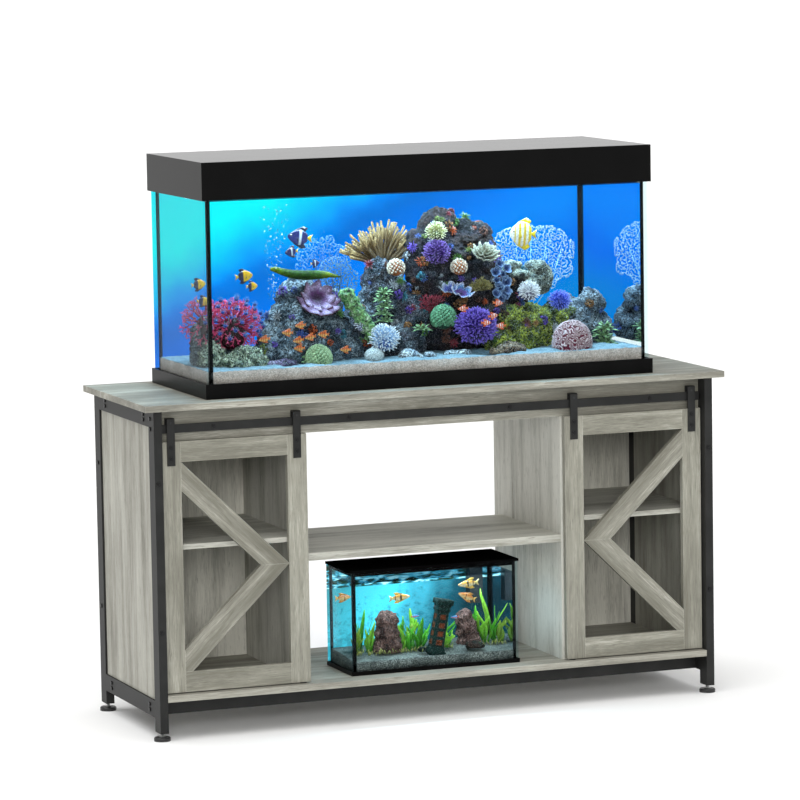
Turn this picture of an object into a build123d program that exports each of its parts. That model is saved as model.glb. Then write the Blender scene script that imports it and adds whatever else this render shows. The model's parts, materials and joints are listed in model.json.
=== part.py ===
from build123d import *
import math
import os

# Aquarium on a barn-door stand. Millimetres, +Z up, +X right, the front faces -Y.
# The origin is on the floor, under the centre of the top board.

# ---------------------------------------------------------------- driving sizes: stand
top_board_width = 1470.0
top_board_depth = 486.0
top_board_thickness = 15.0
stand_height = 791.0
side_overhang = 25.0
front_overhang = 18.0
rear_overhang = 5.5

tube_width = 20.0
tube_depth = 40.0
tube_wall = 1.5
lower_rail_bottom = 52.0
front_cross_inset = 28.0
rear_cross_inset = 37.0
cross_rail_end_plate = 3.0
vent_hole_radius = 3.0
cut_margin = 1.0

bottom_board_thickness = 15.0
side_panel_thickness = 15.0
partition_thickness = 15.0
centre_bay_width = 650.0
side_shelf_thickness = 12.0
side_shelf_top = 455.0
centre_shelf_thickness = 18.0
centre_shelf_rear_gap = 40.0
partition_setback = 5.0
shelf_setback = 2.0
back_panel_thickness = 8.0
board_rear_margin = 2.5
fascia_thickness = 15.0
fascia_height = 77.0

foot_disc_radius = 19.5
foot_disc_height = 9.0
foot_disc_chamfer = 2.0
foot_boss_radius = 8.0
foot_boss_height = 2.0
foot_stud_radius = 4.0
foot_stud_length = 28.0
foot_stud_shown = 8.0
foot_insert_height = 25.0
thread_clearance = 0.05

# ---------------------------------------------------------------- driving sizes: doors
door_front_setback = 20.0
door_thickness = 15.0
door_floor_gap = 3.0
door_post_gap = 3.0
door_partition_lap = 4.0
door_fascia_lap = 1.0
stile_width = 48.0
brace_width = 49.0
brace_tip_drop = 9.0
hanger_back_gap = 2.5
door_meeting_gap = 8.0

rail_height = 20.0
rail_thickness = 5.0
rail_end_gap = 4.0
rail_above_door = 20.0
strap_rail_gap = 4.0
strap_width = 19.0
strap_thickness = 3.0
strap_bend_radius = 2.7
strap_lap = 56.0
rear_ear_lap = 2.0
roller_tread_radius = 4.5
roller_flange_radius = 6.7
roller_flange_thickness = 2.6
roller_groove_clearance = 0.3
roller_side_clearance = 0.55
roller_rail_clearance = 0.1
roller_top_clearance = 0.8
journal_radius = 2.5
journal_clearance = 0.05
strap_bolt_radius = 3.0
strap_bolt_head_radius = 4.5
strap_bolt_head_height = 2.0
strap_bolt_drops = (14.0, 40.0)

rail_bolt_end_inset = 130.0
rail_bolt_bay_insets = (106.0, 135.0)
rail_bolt_radius = 2.5
rail_bolt_head_radius = 4.5
rail_bolt_head_height = 2.0
rail_bolt_grip = 10.0
rail_spacer_radius = 7.0
bolt_clearance = 0.1

guide_pin_radius = 3.5
guide_pin_height = 10.0
guide_base_radius = 8.0
guide_base_clearance = 1.2
guide_side_clearance = 0.5
guide_top_clearance = 2.0
guide_grip = 33.0

frame_bolt_radius = 3.0
frame_bolt_head_radius = 5.0
frame_bolt_head_height = 2.5
cross_bolt_pitch = 13.0
cross_bolt_grip = 8.0
lower_post_bolt_rise = 165.0
upper_post_bolt_drop = 131.0
post_bolt_length = 14.0
corner_bolt_drops = (44.0, 20.0)
corner_bolt_setback = 28.0

# ---------------------------------------------------------------- driving sizes: main tank
glass_length = 1125.0
glass_depth = 395.0
glass_height = 466.0
glass_thickness = 8.0
tank_setback = 13.5
trim_height = 35.4
trim_ledge_thickness = 6.0
trim_ledge_width = 28.0
trim_wall = 6.2
trim_clearance = 0.3
seam_leg = 9.0
sand_depth = 50.0
fan_width = 92.0
fan_thickness = 12.0
fan_height = 145.0
fan_corner = 26.0
backdrop_thickness = 1.0
backdrop_end_gap = 0.6

hood_height = 89.0
hood_wall = 4.0
hood_lap = 9.0
hood_rear_extra = 4.0
hood_frame_width = 35.0
hood_frame_thickness = 4.0
light_bar_width = 40.0
light_bar_height = 14.0
light_bar_bearing = 10.0
light_bar_offset = 100.0

# ---------------------------------------------------------------- driving sizes: small tank
small_length = 432.0
small_depth = 173.0
small_height = 253.0
small_glass = 5.0
small_front_setback = 51.0
small_centre_x = 2.0
small_trim_wall = 1.8
small_trim_clearance = 0.2
small_trim_height = 10.0
small_trim_ledge = 4.0
small_trim_ledge_width = 14.0
small_seam_leg = 8.0
small_backdrop_thickness = 0.5
small_lid_thickness = 6.0
small_lip_depth = 10.0
small_lip_wall = 3.0
small_lip_clearance = 0.8
small_tank_headroom = 34.0
gravel_depth = 34.0
column_diameter = 30.0
column_length = 110.0
column_lean = 16.0
column_place = (0.567, 0.182)
filter_width = 34.0
filter_depth = 26.0
filter_height = 105.0
filter_top_gap = 14.0
filter_side_gap = 30.0
spout_length = 22.0
spout_radius = 6.0

# ---------------------------------------------------------------- worked-out places: stand
frame_half = top_board_width / 2 - side_overhang
frame_front = -top_board_depth / 2 + front_overhang
frame_rear = top_board_depth / 2 - rear_overhang
inner_half = frame_half - tube_width
board_bottom = stand_height - top_board_thickness
post_bottom = foot_disc_height + foot_boss_height + foot_stud_shown
front_post_y = (frame_front, frame_front + tube_depth)
rear_post_y = (frame_rear - tube_depth, frame_rear)
upper_rail_z = (board_bottom - tube_depth, board_bottom)
lower_rail_z = (lower_rail_bottom, lower_rail_bottom + tube_depth)
floor_board_z = (lower_rail_z[1], lower_rail_z[1] + bottom_board_thickness)
floor_top = floor_board_z[1]
boards_rear = frame_rear - board_rear_margin
bay_half = centre_bay_width / 2
partition_outer = bay_half + partition_thickness
front_cross_y = (front_post_y[1] + front_cross_inset, front_post_y[1] + front_cross_inset + tube_width)
rear_cross_y = (rear_post_y[0] - rear_cross_inset - tube_width, rear_post_y[0] - rear_cross_inset)
door_front = frame_front + door_front_setback
door_back = door_front + door_thickness
fascia_z = (board_bottom - fascia_height, board_bottom)
partition_front = door_back + partition_setback
shelf_front = partition_front + shelf_setback
back_panel_front = boards_rear - back_panel_thickness
centre_shelf_bottom = floor_top + small_height + small_tank_headroom
centre_shelf_z = (centre_shelf_bottom, centre_shelf_bottom + centre_shelf_thickness)

# ---------------------------------------------------------------- worked-out places: doors
door_bottom = floor_top + door_floor_gap
door_top = fascia_z[0] + door_fascia_lap
door_outer = inner_half - door_post_gap
door_inner = bay_half + door_partition_lap
door_travel = min(door_inner - door_meeting_gap / 2, door_outer - door_inner - guide_grip)
stile_centres = (door_outer - stile_width / 2, door_inner + stile_width / 2)
rail_z = (door_top + rail_above_door, door_top + rail_above_door + rail_height)
rail_y = (door_front + strap_rail_gap, door_front + strap_rail_gap + rail_thickness)
rail_middle_z = (rail_z[0] + rail_z[1]) / 2
roller_z = rail_z[1] + roller_rail_clearance + roller_tread_radius
groove_y = (rail_y[0] - roller_groove_clearance, rail_y[1] + roller_groove_clearance)
roller_y = (groove_y[0] - roller_flange_thickness, groove_y[1] + roller_flange_thickness)
strap_y = (door_front - strap_thickness, door_front)
ear_y = (roller_y[1] + roller_side_clearance, roller_y[1] + roller_side_clearance + strap_thickness)
strap_bottom = door_top - strap_lap
strap_top = roller_z + roller_flange_radius + roller_top_clearance + strap_thickness
ear_bottom = rail_z[1] - rear_ear_lap
fascia_front = max(door_back, ear_y[1]) + hanger_back_gap
fascia_y = (fascia_front, fascia_front + fascia_thickness)

# ---------------------------------------------------------------- worked-out places: tanks
trim_reach = trim_wall + trim_clearance
tank_half = glass_length / 2
tank_y = (tank_setback - glass_depth / 2, tank_setback + glass_depth / 2)
inside_half = tank_half - glass_thickness
inside_y = (tank_y[0] + glass_thickness, tank_y[1] - glass_thickness)
ledge_top = stand_height + trim_ledge_thickness
glass_top = ledge_top + glass_height
tank_floor = ledge_top + glass_thickness
sand_top = tank_floor + sand_depth
hood_half = tank_half + trim_reach
hood_y = (tank_y[0] - trim_reach, tank_y[1] + trim_reach + hood_rear_extra)
hood_z = (glass_top - hood_lap, glass_top - hood_lap + hood_height)

small_x = (small_centre_x - small_length / 2, small_centre_x + small_length / 2)
small_y = (frame_front + small_front_setback, frame_front + small_front_setback + small_depth)
small_reach = small_trim_wall + small_trim_clearance
small_glass_x = (small_x[0] + small_reach, small_x[1] - small_reach)
small_glass_y = (small_y[0] + small_reach, small_y[1] - small_reach)
small_inside_x = (small_glass_x[0] + small_glass, small_glass_x[1] - small_glass)
small_inside_y = (small_glass_y[0] + small_glass, small_glass_y[1] - small_glass)
small_ledge_top = floor_top + small_trim_ledge
small_glass_top = floor_top + small_height - small_lid_thickness
small_floor = small_ledge_top + small_glass
gravel_top = small_floor + gravel_depth


def block(x, y, z):
    """A box between the two ends given for each axis."""
    box = Box(x[1] - x[0], y[1] - y[0], z[1] - z[0], align=(Align.MIN, Align.MIN, Align.MIN))
    return Pos(x[0], y[0], z[0]) * box


def grown(span, amount):
    """A span made longer by an amount at both ends."""
    return (span[0] - amount, span[1] + amount)


def about(middle, width):
    """A span of a given width about a middle."""
    return (middle - width / 2, middle + width / 2)


def mirrored(span):
    """The same span on the other side of the middle plane."""
    return (-span[1], -span[0])


def rod(start, direction, radius, length):
    """A round bar from a start point along a direction."""
    plane = Plane(origin=start, z_dir=direction)
    return plane * Cylinder(radius, length, align=(Align.CENTER, Align.CENTER, Align.MIN))


def bolt(start, direction, radius, length, head_radius, head_height):
    """A bolt whose head sits outside the face that the start point lies on."""
    shank = rod(start, direction, radius, length)
    back = tuple(-d for d in direction)
    head = rod(start, back, head_radius, head_height)
    return shank + head


def upright_tube(x, y, z):
    """A rectangular tube along Z, open at both ends."""
    return block(x, y, z) - block(grown(x, -tube_wall), grown(y, -tube_wall), z)


def deep_tube(x, y, z):
    """A rectangular tube along Y, open at both ends."""
    return block(x, y, z) - block(grown(x, -tube_wall), y, grown(z, -tube_wall))


def closed_cross_tube(y, z):
    """A tube along X between the end frames, with end plates and a vent hole underneath."""
    inner = (-inner_half + cross_rail_end_plate, inner_half - cross_rail_end_plate)
    tube = block((-inner_half, inner_half), y, z)
    tube -= block(inner, grown(y, -tube_wall), grown(z, -tube_wall))
    vent_start = (0, sum(y) / 2, z[0] - cut_margin)
    tube -= rod(vent_start, (0, 0, 1), vent_hole_radius, tube_wall + 2 * cut_margin)
    return tube


def corner_bead(corner, legs, z):
    """A silicone bead of triangular section up an inside corner."""
    points = [corner, (corner[0] + legs[0], corner[1]), (corner[0], corner[1] + legs[1])]
    face = make_face(Polyline(*points, close=True))
    return Pos(0, 0, z[0]) * extrude(face, amount=z[1] - z[0], dir=(0, 0, 1))


def corner_beads(x, y, leg, z):
    """The four beads of a tank, one in each inside corner."""
    corners = [(0, 0, 1, 1), (1, 0, -1, 1), (1, 1, -1, -1), (0, 1, 1, -1)]
    return [corner_bead((x[i], y[j]), (leg * a, leg * b), z) for i, j, a, b in corners]


def boulder(x, y, z, top_share, lean=0.0, sides=8):
    """A rough rock: a many-sided base that narrows to a smaller top, shifted sideways by lean."""
    def ring(share, height, shift):
        half_x = (x[1] - x[0]) / 2 * share
        half_y = (y[1] - y[0]) / 2 * share
        centre = (sum(x) / 2 + shift, sum(y) / 2)
        turns = [2 * math.pi * (k + 0.5) / sides for k in range(sides)]
        points = [(centre[0] + half_x * math.cos(t), centre[1] + half_y * math.sin(t)) for t in turns]
        return Pos(0, 0, height) * make_face(Polyline(*points, close=True))
    return loft([ring(1.0, z[0], 0.0), ring(top_share, z[1], lean)])


def dome(centre, radius, height):
    """A low rounded cap that sits on its flat side."""
    shares = [(0, 0), (1, 0), (0.92, 0.5), (0.55, 0.9), (0, 1)]
    profile = [(radius * across, height * up) for across, up in shares]
    face = Plane.XZ * make_face(Polyline(*profile, close=True))
    return Pos(*centre) * revolve(face, axis=Axis.Z, revolution_arc=360)


parts = {}

# ---------------------------------------------------------------- stand: steel frame
post_x = (inner_half, frame_half)
sides = (post_x, mirrored(post_x))
post_z = (post_bottom, board_bottom)
rail_span_y = (front_post_y[1], rear_post_y[0])
cross_rail_spans = (front_cross_y, rear_cross_y)


def drill(piece, bolts):
    """Cut the clearance holes that a set of bolts needs through a piece."""
    for start, direction, radius, length in bolts:
        piece -= rod(start, direction, radius + bolt_clearance, length)
    return piece


def outward(side_x):
    """The outer face of an end frame, and the direction into it."""
    return (side_x[1], (-1, 0, 0)) if side_x[0] > 0 else (side_x[0], (1, 0, 0))


cross_bolts = []
post_bolts = []
for side_x in sides:
    face_x, inward = outward(side_x)
    for cross_y in cross_rail_spans:
        for band in (upper_rail_z, lower_rail_z):
            for step in (-0.5, 0.5):
                place = (face_x, sum(cross_y) / 2, sum(band) / 2 + step * cross_bolt_pitch)
                cross_bolts.append((place, inward, frame_bolt_radius, tube_width + cross_bolt_grip))
    for height in (lower_rail_z[1] + lower_post_bolt_rise, upper_rail_z[0] - upper_post_bolt_drop):
        front_place = (sum(side_x) / 2, frame_front, height)
        post_bolts.append((front_place, (0, 1, 0), frame_bolt_radius, tube_depth + post_bolt_length))
        rear_place = (face_x, sum(rear_post_y) / 2, height)
        post_bolts.append((rear_place, inward, frame_bolt_radius, post_bolt_length))
    for drop in corner_bolt_drops:
        corner_place = (face_x, frame_front + corner_bolt_setback, board_bottom - drop)
        post_bolts.append((corner_place, inward, frame_bolt_radius, post_bolt_length))

parts["front_posts"] = [drill(upright_tube(x, front_post_y, post_z), post_bolts) for x in sides]
parts["rear_posts"] = [drill(upright_tube(x, rear_post_y, post_z), post_bolts) for x in sides]
rail_bands = (upper_rail_z, lower_rail_z)
parts["side_rails"] = [drill(deep_tube(x, rail_span_y, z), cross_bolts) for x in sides for z in rail_bands]
parts["cross_rails"] = [
    drill(closed_cross_tube(y, z), cross_bolts) for y in cross_rail_spans for z in rail_bands
]
parts["frame_bolts"] = [
    bolt(*item, frame_bolt_head_radius, frame_bolt_head_height) for item in cross_bolts + post_bolts
]

# ---------------------------------------------------------------- stand: levelling feet
foot_places = {}
for side_name, x in (("right", sides[0]), ("left", sides[1])):
    for end_name, y in (("front", front_post_y), ("rear", rear_post_y)):
        foot_places[f"foot_{end_name}_{side_name}"] = (x, y)

inserts = []
for name, (x, y) in foot_places.items():
    centre = (sum(x) / 2, sum(y) / 2)
    stud_z = foot_disc_height + foot_boss_height
    plug_z = (post_bottom, post_bottom + foot_insert_height)
    plug = block(grown(x, -tube_wall), grown(y, -tube_wall), plug_z)
    hole = rod((*centre, post_bottom), (0, 0, 1), foot_stud_radius + thread_clearance, foot_insert_height)
    inserts.append(plug - hole)
    disc = rod((*centre, 0), (0, 0, 1), foot_disc_radius, foot_disc_height)
    disc = chamfer(disc.edges().group_by(Axis.Z)[-1], foot_disc_chamfer)
    boss = rod((*centre, foot_disc_height), (0, 0, 1), foot_boss_radius, foot_boss_height)
    stud = rod((*centre, stud_z), (0, 0, 1), foot_stud_radius, foot_stud_length)
    parts[name] = [disc + boss + stud]
parts["foot_inserts"] = inserts

# ---------------------------------------------------------------- stand: boards
board_x = (-top_board_width / 2, top_board_width / 2)
board_y = (-top_board_depth / 2, top_board_depth / 2)
parts["top_board"] = [block(board_x, board_y, (board_bottom, stand_height))]

boards_y = (frame_front, boards_rear)
parts["bottom_board"] = [block((-inner_half, inner_half), boards_y, floor_board_z)]

side_panel_x = (inner_half, inner_half + side_panel_thickness)
side_panel_z = (lower_rail_z[1], upper_rail_z[0])
for side_name, x in (("right", side_panel_x), ("left", mirrored(side_panel_x))):
    panel = block(x, rail_span_y, side_panel_z)
    parts[f"side_panel_{side_name}"] = [drill(panel, post_bolts)]

fascia = block((-inner_half, inner_half), fascia_y, fascia_z)
rail_x = (-inner_half + rail_end_gap, inner_half - rail_end_gap)
rail_bolt_places = (
    rail_x[0] + rail_bolt_end_inset,
    -bay_half + rail_bolt_bay_insets[0],
    bay_half - rail_bolt_bay_insets[1],
    rail_x[1] - rail_bolt_end_inset,
)
rail_bolts = []
for place in rail_bolt_places:
    start = (place, rail_y[0], rail_middle_z)
    length = fascia_front + rail_bolt_grip - rail_y[0]
    rail_bolts.append((start, (0, 1, 0), rail_bolt_radius, length))
parts["fascia"] = [drill(fascia, rail_bolts)]

partition_x = (bay_half, partition_outer)
partition_y = (partition_front, boards_rear)
partition_z = (floor_top, upper_rail_z[0])
fascia_notch = block((-inner_half, inner_half), (frame_front, fascia_y[1]), fascia_z)
for side_name, x in (("right", partition_x), ("left", mirrored(partition_x))):
    parts[f"partition_{side_name}"] = [block(x, partition_y, partition_z) - fascia_notch]

bay_x = (partition_outer, inner_half)
side_shelf_z = (side_shelf_top - side_shelf_thickness, side_shelf_top)
back_panel_y = (back_panel_front, boards_rear)
back_panel_z = (floor_top, board_bottom)
shelves_y = (partition_front, back_panel_front)
parts["side_shelves"] = [block(x, shelves_y, side_shelf_z) for x in (bay_x, mirrored(bay_x))]
parts["back_panels"] = [block(x, back_panel_y, back_panel_z) for x in (bay_x, mirrored(bay_x))]

centre_shelf_y = (shelf_front, boards_rear - centre_shelf_rear_gap)
parts["centre_shelf"] = [block((-bay_half, bay_half), centre_shelf_y, centre_shelf_z)]

# ---------------------------------------------------------------- stand: door rail and guides
parts["barn_rail"] = [drill(block(rail_x, rail_y, rail_z), rail_bolts)]
parts["rail_bolts"] = [bolt(*item, rail_bolt_head_radius, rail_bolt_head_height) for item in rail_bolts]
spacers = []
for place in rail_bolt_places:
    start = (place, rail_y[1], rail_middle_z)
    spacer = rod(start, (0, 1, 0), rail_spacer_radius, fascia_front - rail_y[1])
    spacers.append(drill(spacer, rail_bolts))
parts["rail_spacers"] = spacers

door_middle_y = (door_front + door_back) / 2
guide_x = (door_inner + door_outer - door_travel) / 2
guide_base_height = door_floor_gap - guide_base_clearance
guides = []
for x in (-guide_x, guide_x):
    base = rod((x, door_middle_y, floor_top), (0, 0, 1), guide_base_radius, guide_base_height)
    pin = rod((x, door_middle_y, floor_top), (0, 0, 1), guide_pin_radius, guide_pin_height)
    guides.append(base + pin)
parts["door_guides"] = guides

# ---------------------------------------------------------------- doors, drawn for the right side
opening_x = (door_inner + stile_width, door_outer - stile_width)
opening_z = (door_bottom + stile_width, door_top - stile_width)
brace_tip_z = (door_bottom + door_top) / 2 - brace_tip_drop
door_y = (door_front, door_back)


def brace(up):
    """One diagonal from the outer corner to the tip at the inner stile, cut to the opening."""
    width = opening_x[1] - opening_x[0]
    rise = opening_z[1] - brace_tip_z
    slope = math.atan2(rise, width)
    tip = (opening_x[0], 0.0)
    corner = (opening_x[1], rise)
    corner_in = (opening_x[1], rise - brace_width / math.cos(slope))
    tip_in = (opening_x[0] + brace_width / math.sin(slope), 0.0)
    sign = 1 if up else -1
    points = [(x, brace_tip_z + sign * z) for x, z in (tip, corner, corner_in, tip_in)]
    sketch = Plane(origin=(0, door_back, 0), x_dir=(1, 0, 0), z_dir=(0, -1, 0))
    slab = extrude(sketch * make_face(Polyline(*points, close=True)), amount=door_thickness, dir=(0, -1, 0))
    return slab & block(opening_x, door_y, opening_z)


def strap(x_middle):
    """A hanger: a flat strap on the door that bends back over the rail to a short rear ear."""
    x = about(x_middle, strap_width)
    front = block(x, strap_y, (strap_bottom, strap_top))
    bend = block(x, (strap_y[0], ear_y[1]), (strap_top - strap_thickness, strap_top))
    ear = block(x, ear_y, (ear_bottom, strap_top))
    piece = front + bend + ear
    crown = piece.edges().filter_by(Axis.X).group_by(Axis.Z)[-1]
    piece = fillet(crown, strap_bend_radius)
    bore_start = (x_middle, strap_y[0] - cut_margin, roller_z)
    bore_length = ear_y[1] - strap_y[0] + 2 * cut_margin
    return piece - rod(bore_start, (0, 1, 0), journal_radius + journal_clearance, bore_length)


def roller(x_middle):
    """A grooved roller turned in one piece with the journals that run in the strap."""
    start = (x_middle, strap_y[0], roller_z)
    journals = rod(start, (0, 1, 0), journal_radius, ear_y[1] - strap_y[0])
    front_face = (x_middle, roller_y[0], roller_z)
    rear_flange = (x_middle, groove_y[1], roller_z)
    tread = rod(front_face, (0, 1, 0), roller_tread_radius, roller_y[1] - roller_y[0])
    front = rod(front_face, (0, 1, 0), roller_flange_radius, roller_flange_thickness)
    rear = rod(rear_flange, (0, 1, 0), roller_flange_radius, roller_flange_thickness)
    return journals + tread + front + rear


strap_bolts = []
for centre in stile_centres:
    for drop in strap_bolt_drops:
        start = (centre, strap_y[0], door_top - drop)
        strap_bolts.append((start, (0, 1, 0), strap_bolt_radius, strap_thickness + door_thickness))

guide_groove = block(
    (door_inner, door_outer),
    about(door_middle_y, 2 * (guide_pin_radius + guide_side_clearance)),
    (door_bottom, floor_top + guide_pin_height + guide_top_clearance),
)
outer_stile = block((opening_x[1], door_outer), door_y, (door_bottom, door_top))
inner_stile = block((door_inner, opening_x[0]), door_y, (door_bottom, door_top))
top_rail = block(opening_x, door_y, (opening_z[1], door_top))
bottom_rail = block(opening_x, door_y, (door_bottom, opening_z[0])) - guide_groove
door_pieces = {
    "door_stiles": [drill(s, strap_bolts) - guide_groove for s in (outer_stile, inner_stile)],
    "door_rails": [top_rail, bottom_rail],
    "door_braces": [brace(True), brace(False)],
    "door_hangers": [drill(strap(centre), strap_bolts) for centre in stile_centres],
    "door_bolts": [bolt(*item, strap_bolt_head_radius, strap_bolt_head_height) for item in strap_bolts],
    "outer_roller": [roller(stile_centres[0])],
    "inner_roller": [roller(stile_centres[1])],
}
for name, solids in door_pieces.items():
    parts[f"right_{name}"] = solids
    parts[f"left_{name}"] = [mirror(s, about=Plane.YZ) for s in solids]

# ---------------------------------------------------------------- main tank
trim_x = (-tank_half - trim_reach, tank_half + trim_reach)
trim_y = grown(tank_y, trim_reach)
pocket_x = (-tank_half - trim_clearance, tank_half + trim_clearance)
pocket_y = grown(tank_y, trim_clearance)
trim = block(trim_x, trim_y, (stand_height, stand_height + trim_height))
trim -= block(pocket_x, pocket_y, (ledge_top, stand_height + trim_height))
trim -= block(grown(trim_x, -trim_ledge_width), grown(trim_y, -trim_ledge_width), (stand_height, ledge_top))
parts["tank_trim"] = [trim]

pane_z = (ledge_top, glass_top)
pane_x = (-tank_half, tank_half)
inside_x = (-inside_half, inside_half)
parts["tank_bottom_glass"] = [block(inside_x, inside_y, (ledge_top, tank_floor))]
parts["tank_front_glass"] = [block(pane_x, (tank_y[0], inside_y[0]), pane_z)]
parts["tank_rear_glass"] = [block(pane_x, (inside_y[1], tank_y[1]), pane_z)]
parts["tank_side_glass"] = [
    block((inside_half, tank_half), inside_y, pane_z),
    block((-tank_half, -inside_half), inside_y, pane_z),
]
beads = corner_beads(inside_x, inside_y, seam_leg, (tank_floor, glass_top))
parts["tank_seams"] = beads
backdrop_y = (tank_y[1], tank_y[1] + backdrop_thickness)
backdrop_z = (stand_height + trim_height + backdrop_end_gap, hood_z[0] - backdrop_end_gap)
parts["tank_backdrop"] = [block(pane_x, backdrop_y, backdrop_z)]

sand = block(inside_x, inside_y, (tank_floor, sand_top))
for bead in beads:
    sand -= bead
parts["sand_bed"] = [sand]

def inside(span, share):
    """A place in a tank, as a share of the way from the left glass, or from the front glass."""
    return span[0] + share * (span[1] - span[0])


def rock_pile(stones, x, y, z):
    """Rocks that share out the room in a tank: each has its ends, and how much its top keeps."""
    pile = []
    for stone_x, stone_y, height, top_share, lean in stones:
        rock_x = (inside(x, stone_x[0]), inside(x, stone_x[1]))
        rock_y = (inside(y, stone_y[0]), inside(y, stone_y[1]))
        pile.append(boulder(rock_x, rock_y, (z[0], inside(z, height)), top_share, lean))
    return pile


# Each rock of the reef: its ends along and across the tank and its height, as shares of the room
# over the sand, then the share of its base that its top keeps and its lean to the right.
reef_z = (sand_top, glass_top)
fan_rock = ((0.403, 0.493), (0.438, 0.860), 0.466, 0.60, 10)
reef = [
    ((0.045, 0.162), (0.359, 0.755), 0.404, 0.55, 10),
    ((0.166, 0.399), (0.385, 0.860), 0.527, 0.42, 5),
    fan_rock,
    ((0.496, 0.715), (0.346, 0.887), 0.846, 0.28, 0),
    ((0.718, 0.872), (0.267, 0.781), 0.404, 0.55, 0),
    ((0.877, 0.987), (0.346, 0.702), 0.368, 0.60, 0),
]
parts["reef_rocks"] = rock_pile(reef, inside_x, inside_y, reef_z)

# Dome corals on the sand: their place and radius as shares of the tank, and height over radius.
dome_corals = [(0.850, 0.153, 0.127, 1.37), (0.300, 0.290, 0.090, 1.29), (0.426, 0.300, 0.063, 1.17)]
corals = []
for share_x, share_y, share_radius, rise in dome_corals:
    radius = share_radius * (inside_y[1] - inside_y[0])
    centre = (inside(inside_x, share_x), inside(inside_y, share_y), sand_top)
    corals.append(dome(centre, radius, rise * radius))

# A flat fan coral stands on the third rock.
fan_foot = inside(reef_z, fan_rock[2])
fan_x = about(inside(inside_x, sum(fan_rock[0]) / 2) + fan_rock[4], fan_width)
fan_y = about(inside(inside_y, sum(fan_rock[1]) / 2), fan_thickness)
fan = block(fan_x, fan_y, (fan_foot, fan_foot + fan_height))
corals.append(chamfer(fan.edges().filter_by(Axis.Y), fan_corner))
parts["corals"] = corals

# ---------------------------------------------------------------- hood
hood_x = (-hood_half, hood_half)
hood = block(hood_x, hood_y, hood_z)
hood -= block(grown(hood_x, -hood_wall), grown(hood_y, -hood_wall), (hood_z[0], hood_z[1] - hood_wall))
parts["hood_cover"] = [hood]

frame_x = grown(hood_x, -hood_wall)
frame_y = grown(hood_y, -hood_wall)
frame_z = (glass_top, glass_top + hood_frame_thickness)
frame_hole_x = grown(frame_x, -hood_frame_width)
hood_frame = block(frame_x, frame_y, frame_z)
hood_frame -= block(frame_hole_x, grown(frame_y, -hood_frame_width), frame_z)
parts["hood_frame"] = [hood_frame]

bar_x = grown(frame_hole_x, light_bar_bearing)
bar_z = (frame_z[1], frame_z[1] + light_bar_height)
hood_middle_y = sum(hood_y) / 2
parts["light_bars"] = [
    block(bar_x, about(hood_middle_y + offset, light_bar_width), bar_z)
    for offset in (-light_bar_offset, light_bar_offset)
]

# ---------------------------------------------------------------- small tank on the lower shelf
small_trim_z = (floor_top, floor_top + small_trim_height)
small_trim = block(small_x, small_y, small_trim_z)
small_pocket_x = grown(small_glass_x, small_trim_clearance)
small_pocket_y = grown(small_glass_y, small_trim_clearance)
small_trim -= block(small_pocket_x, small_pocket_y, (small_ledge_top, small_trim_z[1]))
small_hole_x = grown(small_x, -small_trim_ledge_width)
small_hole_y = grown(small_y, -small_trim_ledge_width)
small_trim -= block(small_hole_x, small_hole_y, (floor_top, small_ledge_top))
parts["small_tank_trim"] = [small_trim]

small_pane_z = (small_ledge_top, small_glass_top)
parts["small_tank_glass"] = [
    block(small_inside_x, small_inside_y, (small_ledge_top, small_floor)),
    block(small_glass_x, (small_glass_y[0], small_inside_y[0]), small_pane_z),
    block(small_glass_x, (small_inside_y[1], small_glass_y[1]), small_pane_z),
    block((small_glass_x[0], small_inside_x[0]), small_inside_y, small_pane_z),
    block((small_inside_x[1], small_glass_x[1]), small_inside_y, small_pane_z),
]
small_beads = corner_beads(small_inside_x, small_inside_y, small_seam_leg, (small_floor, small_glass_top))
parts["small_tank_seams"] = small_beads

small_backdrop_y = (small_glass_y[1], small_glass_y[1] + small_backdrop_thickness)
small_backdrop_z = (small_trim_z[1] + backdrop_end_gap, small_glass_top - backdrop_end_gap)
parts["small_tank_backdrop"] = [block(small_glass_x, small_backdrop_y, small_backdrop_z)]

gravel = block(small_inside_x, small_inside_y, (small_floor, gravel_top))
for bead in small_beads:
    gravel -= bead
parts["gravel_bed"] = [gravel]

small_rocks = [
    ((0.179, 0.347), (0.245, 0.660), 0.471, 0.45, 2),
    ((0.715, 0.849), (0.283, 0.648), 0.412, 0.45, 2),
    ((0.653, 0.710), (0.132, 0.258), 0.078, 0.60, 0),
]
small_room_z = (gravel_top, small_glass_top)
parts["small_tank_rocks"] = rock_pile(small_rocks, small_inside_x, small_inside_y, small_room_z)

# The leaning column is cut level where it stands on the gravel.
lean = math.radians(column_lean)
column_axis = (math.sin(lean), 0, math.cos(lean))
column_sink = column_diameter / 2 * math.tan(lean) + cut_margin
column_start = (
    inside(small_inside_x, column_place[0]) - column_sink * math.sin(lean),
    inside(small_inside_y, column_place[1]),
    gravel_top - column_sink * math.cos(lean),
)
column = rod(column_start, column_axis, column_diameter / 2, column_length + column_sink)
column -= block(small_inside_x, small_inside_y, (small_floor, gravel_top))
parts["small_tank_column"] = [column]

filter_x = (small_inside_x[1] - filter_side_gap - filter_width, small_inside_x[1] - filter_side_gap)
filter_y = (small_inside_y[1] - filter_depth, small_inside_y[1])
filter_z = (small_glass_top - filter_top_gap - filter_height, small_glass_top - filter_top_gap)
spout_start = (filter_x[0], sum(filter_y) / 2, filter_z[1] - 2 * spout_radius)
spout = rod(spout_start, (-1, 0, 0), spout_radius, spout_length)
parts["small_tank_filter"] = [block(filter_x, filter_y, filter_z) + spout]

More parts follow.
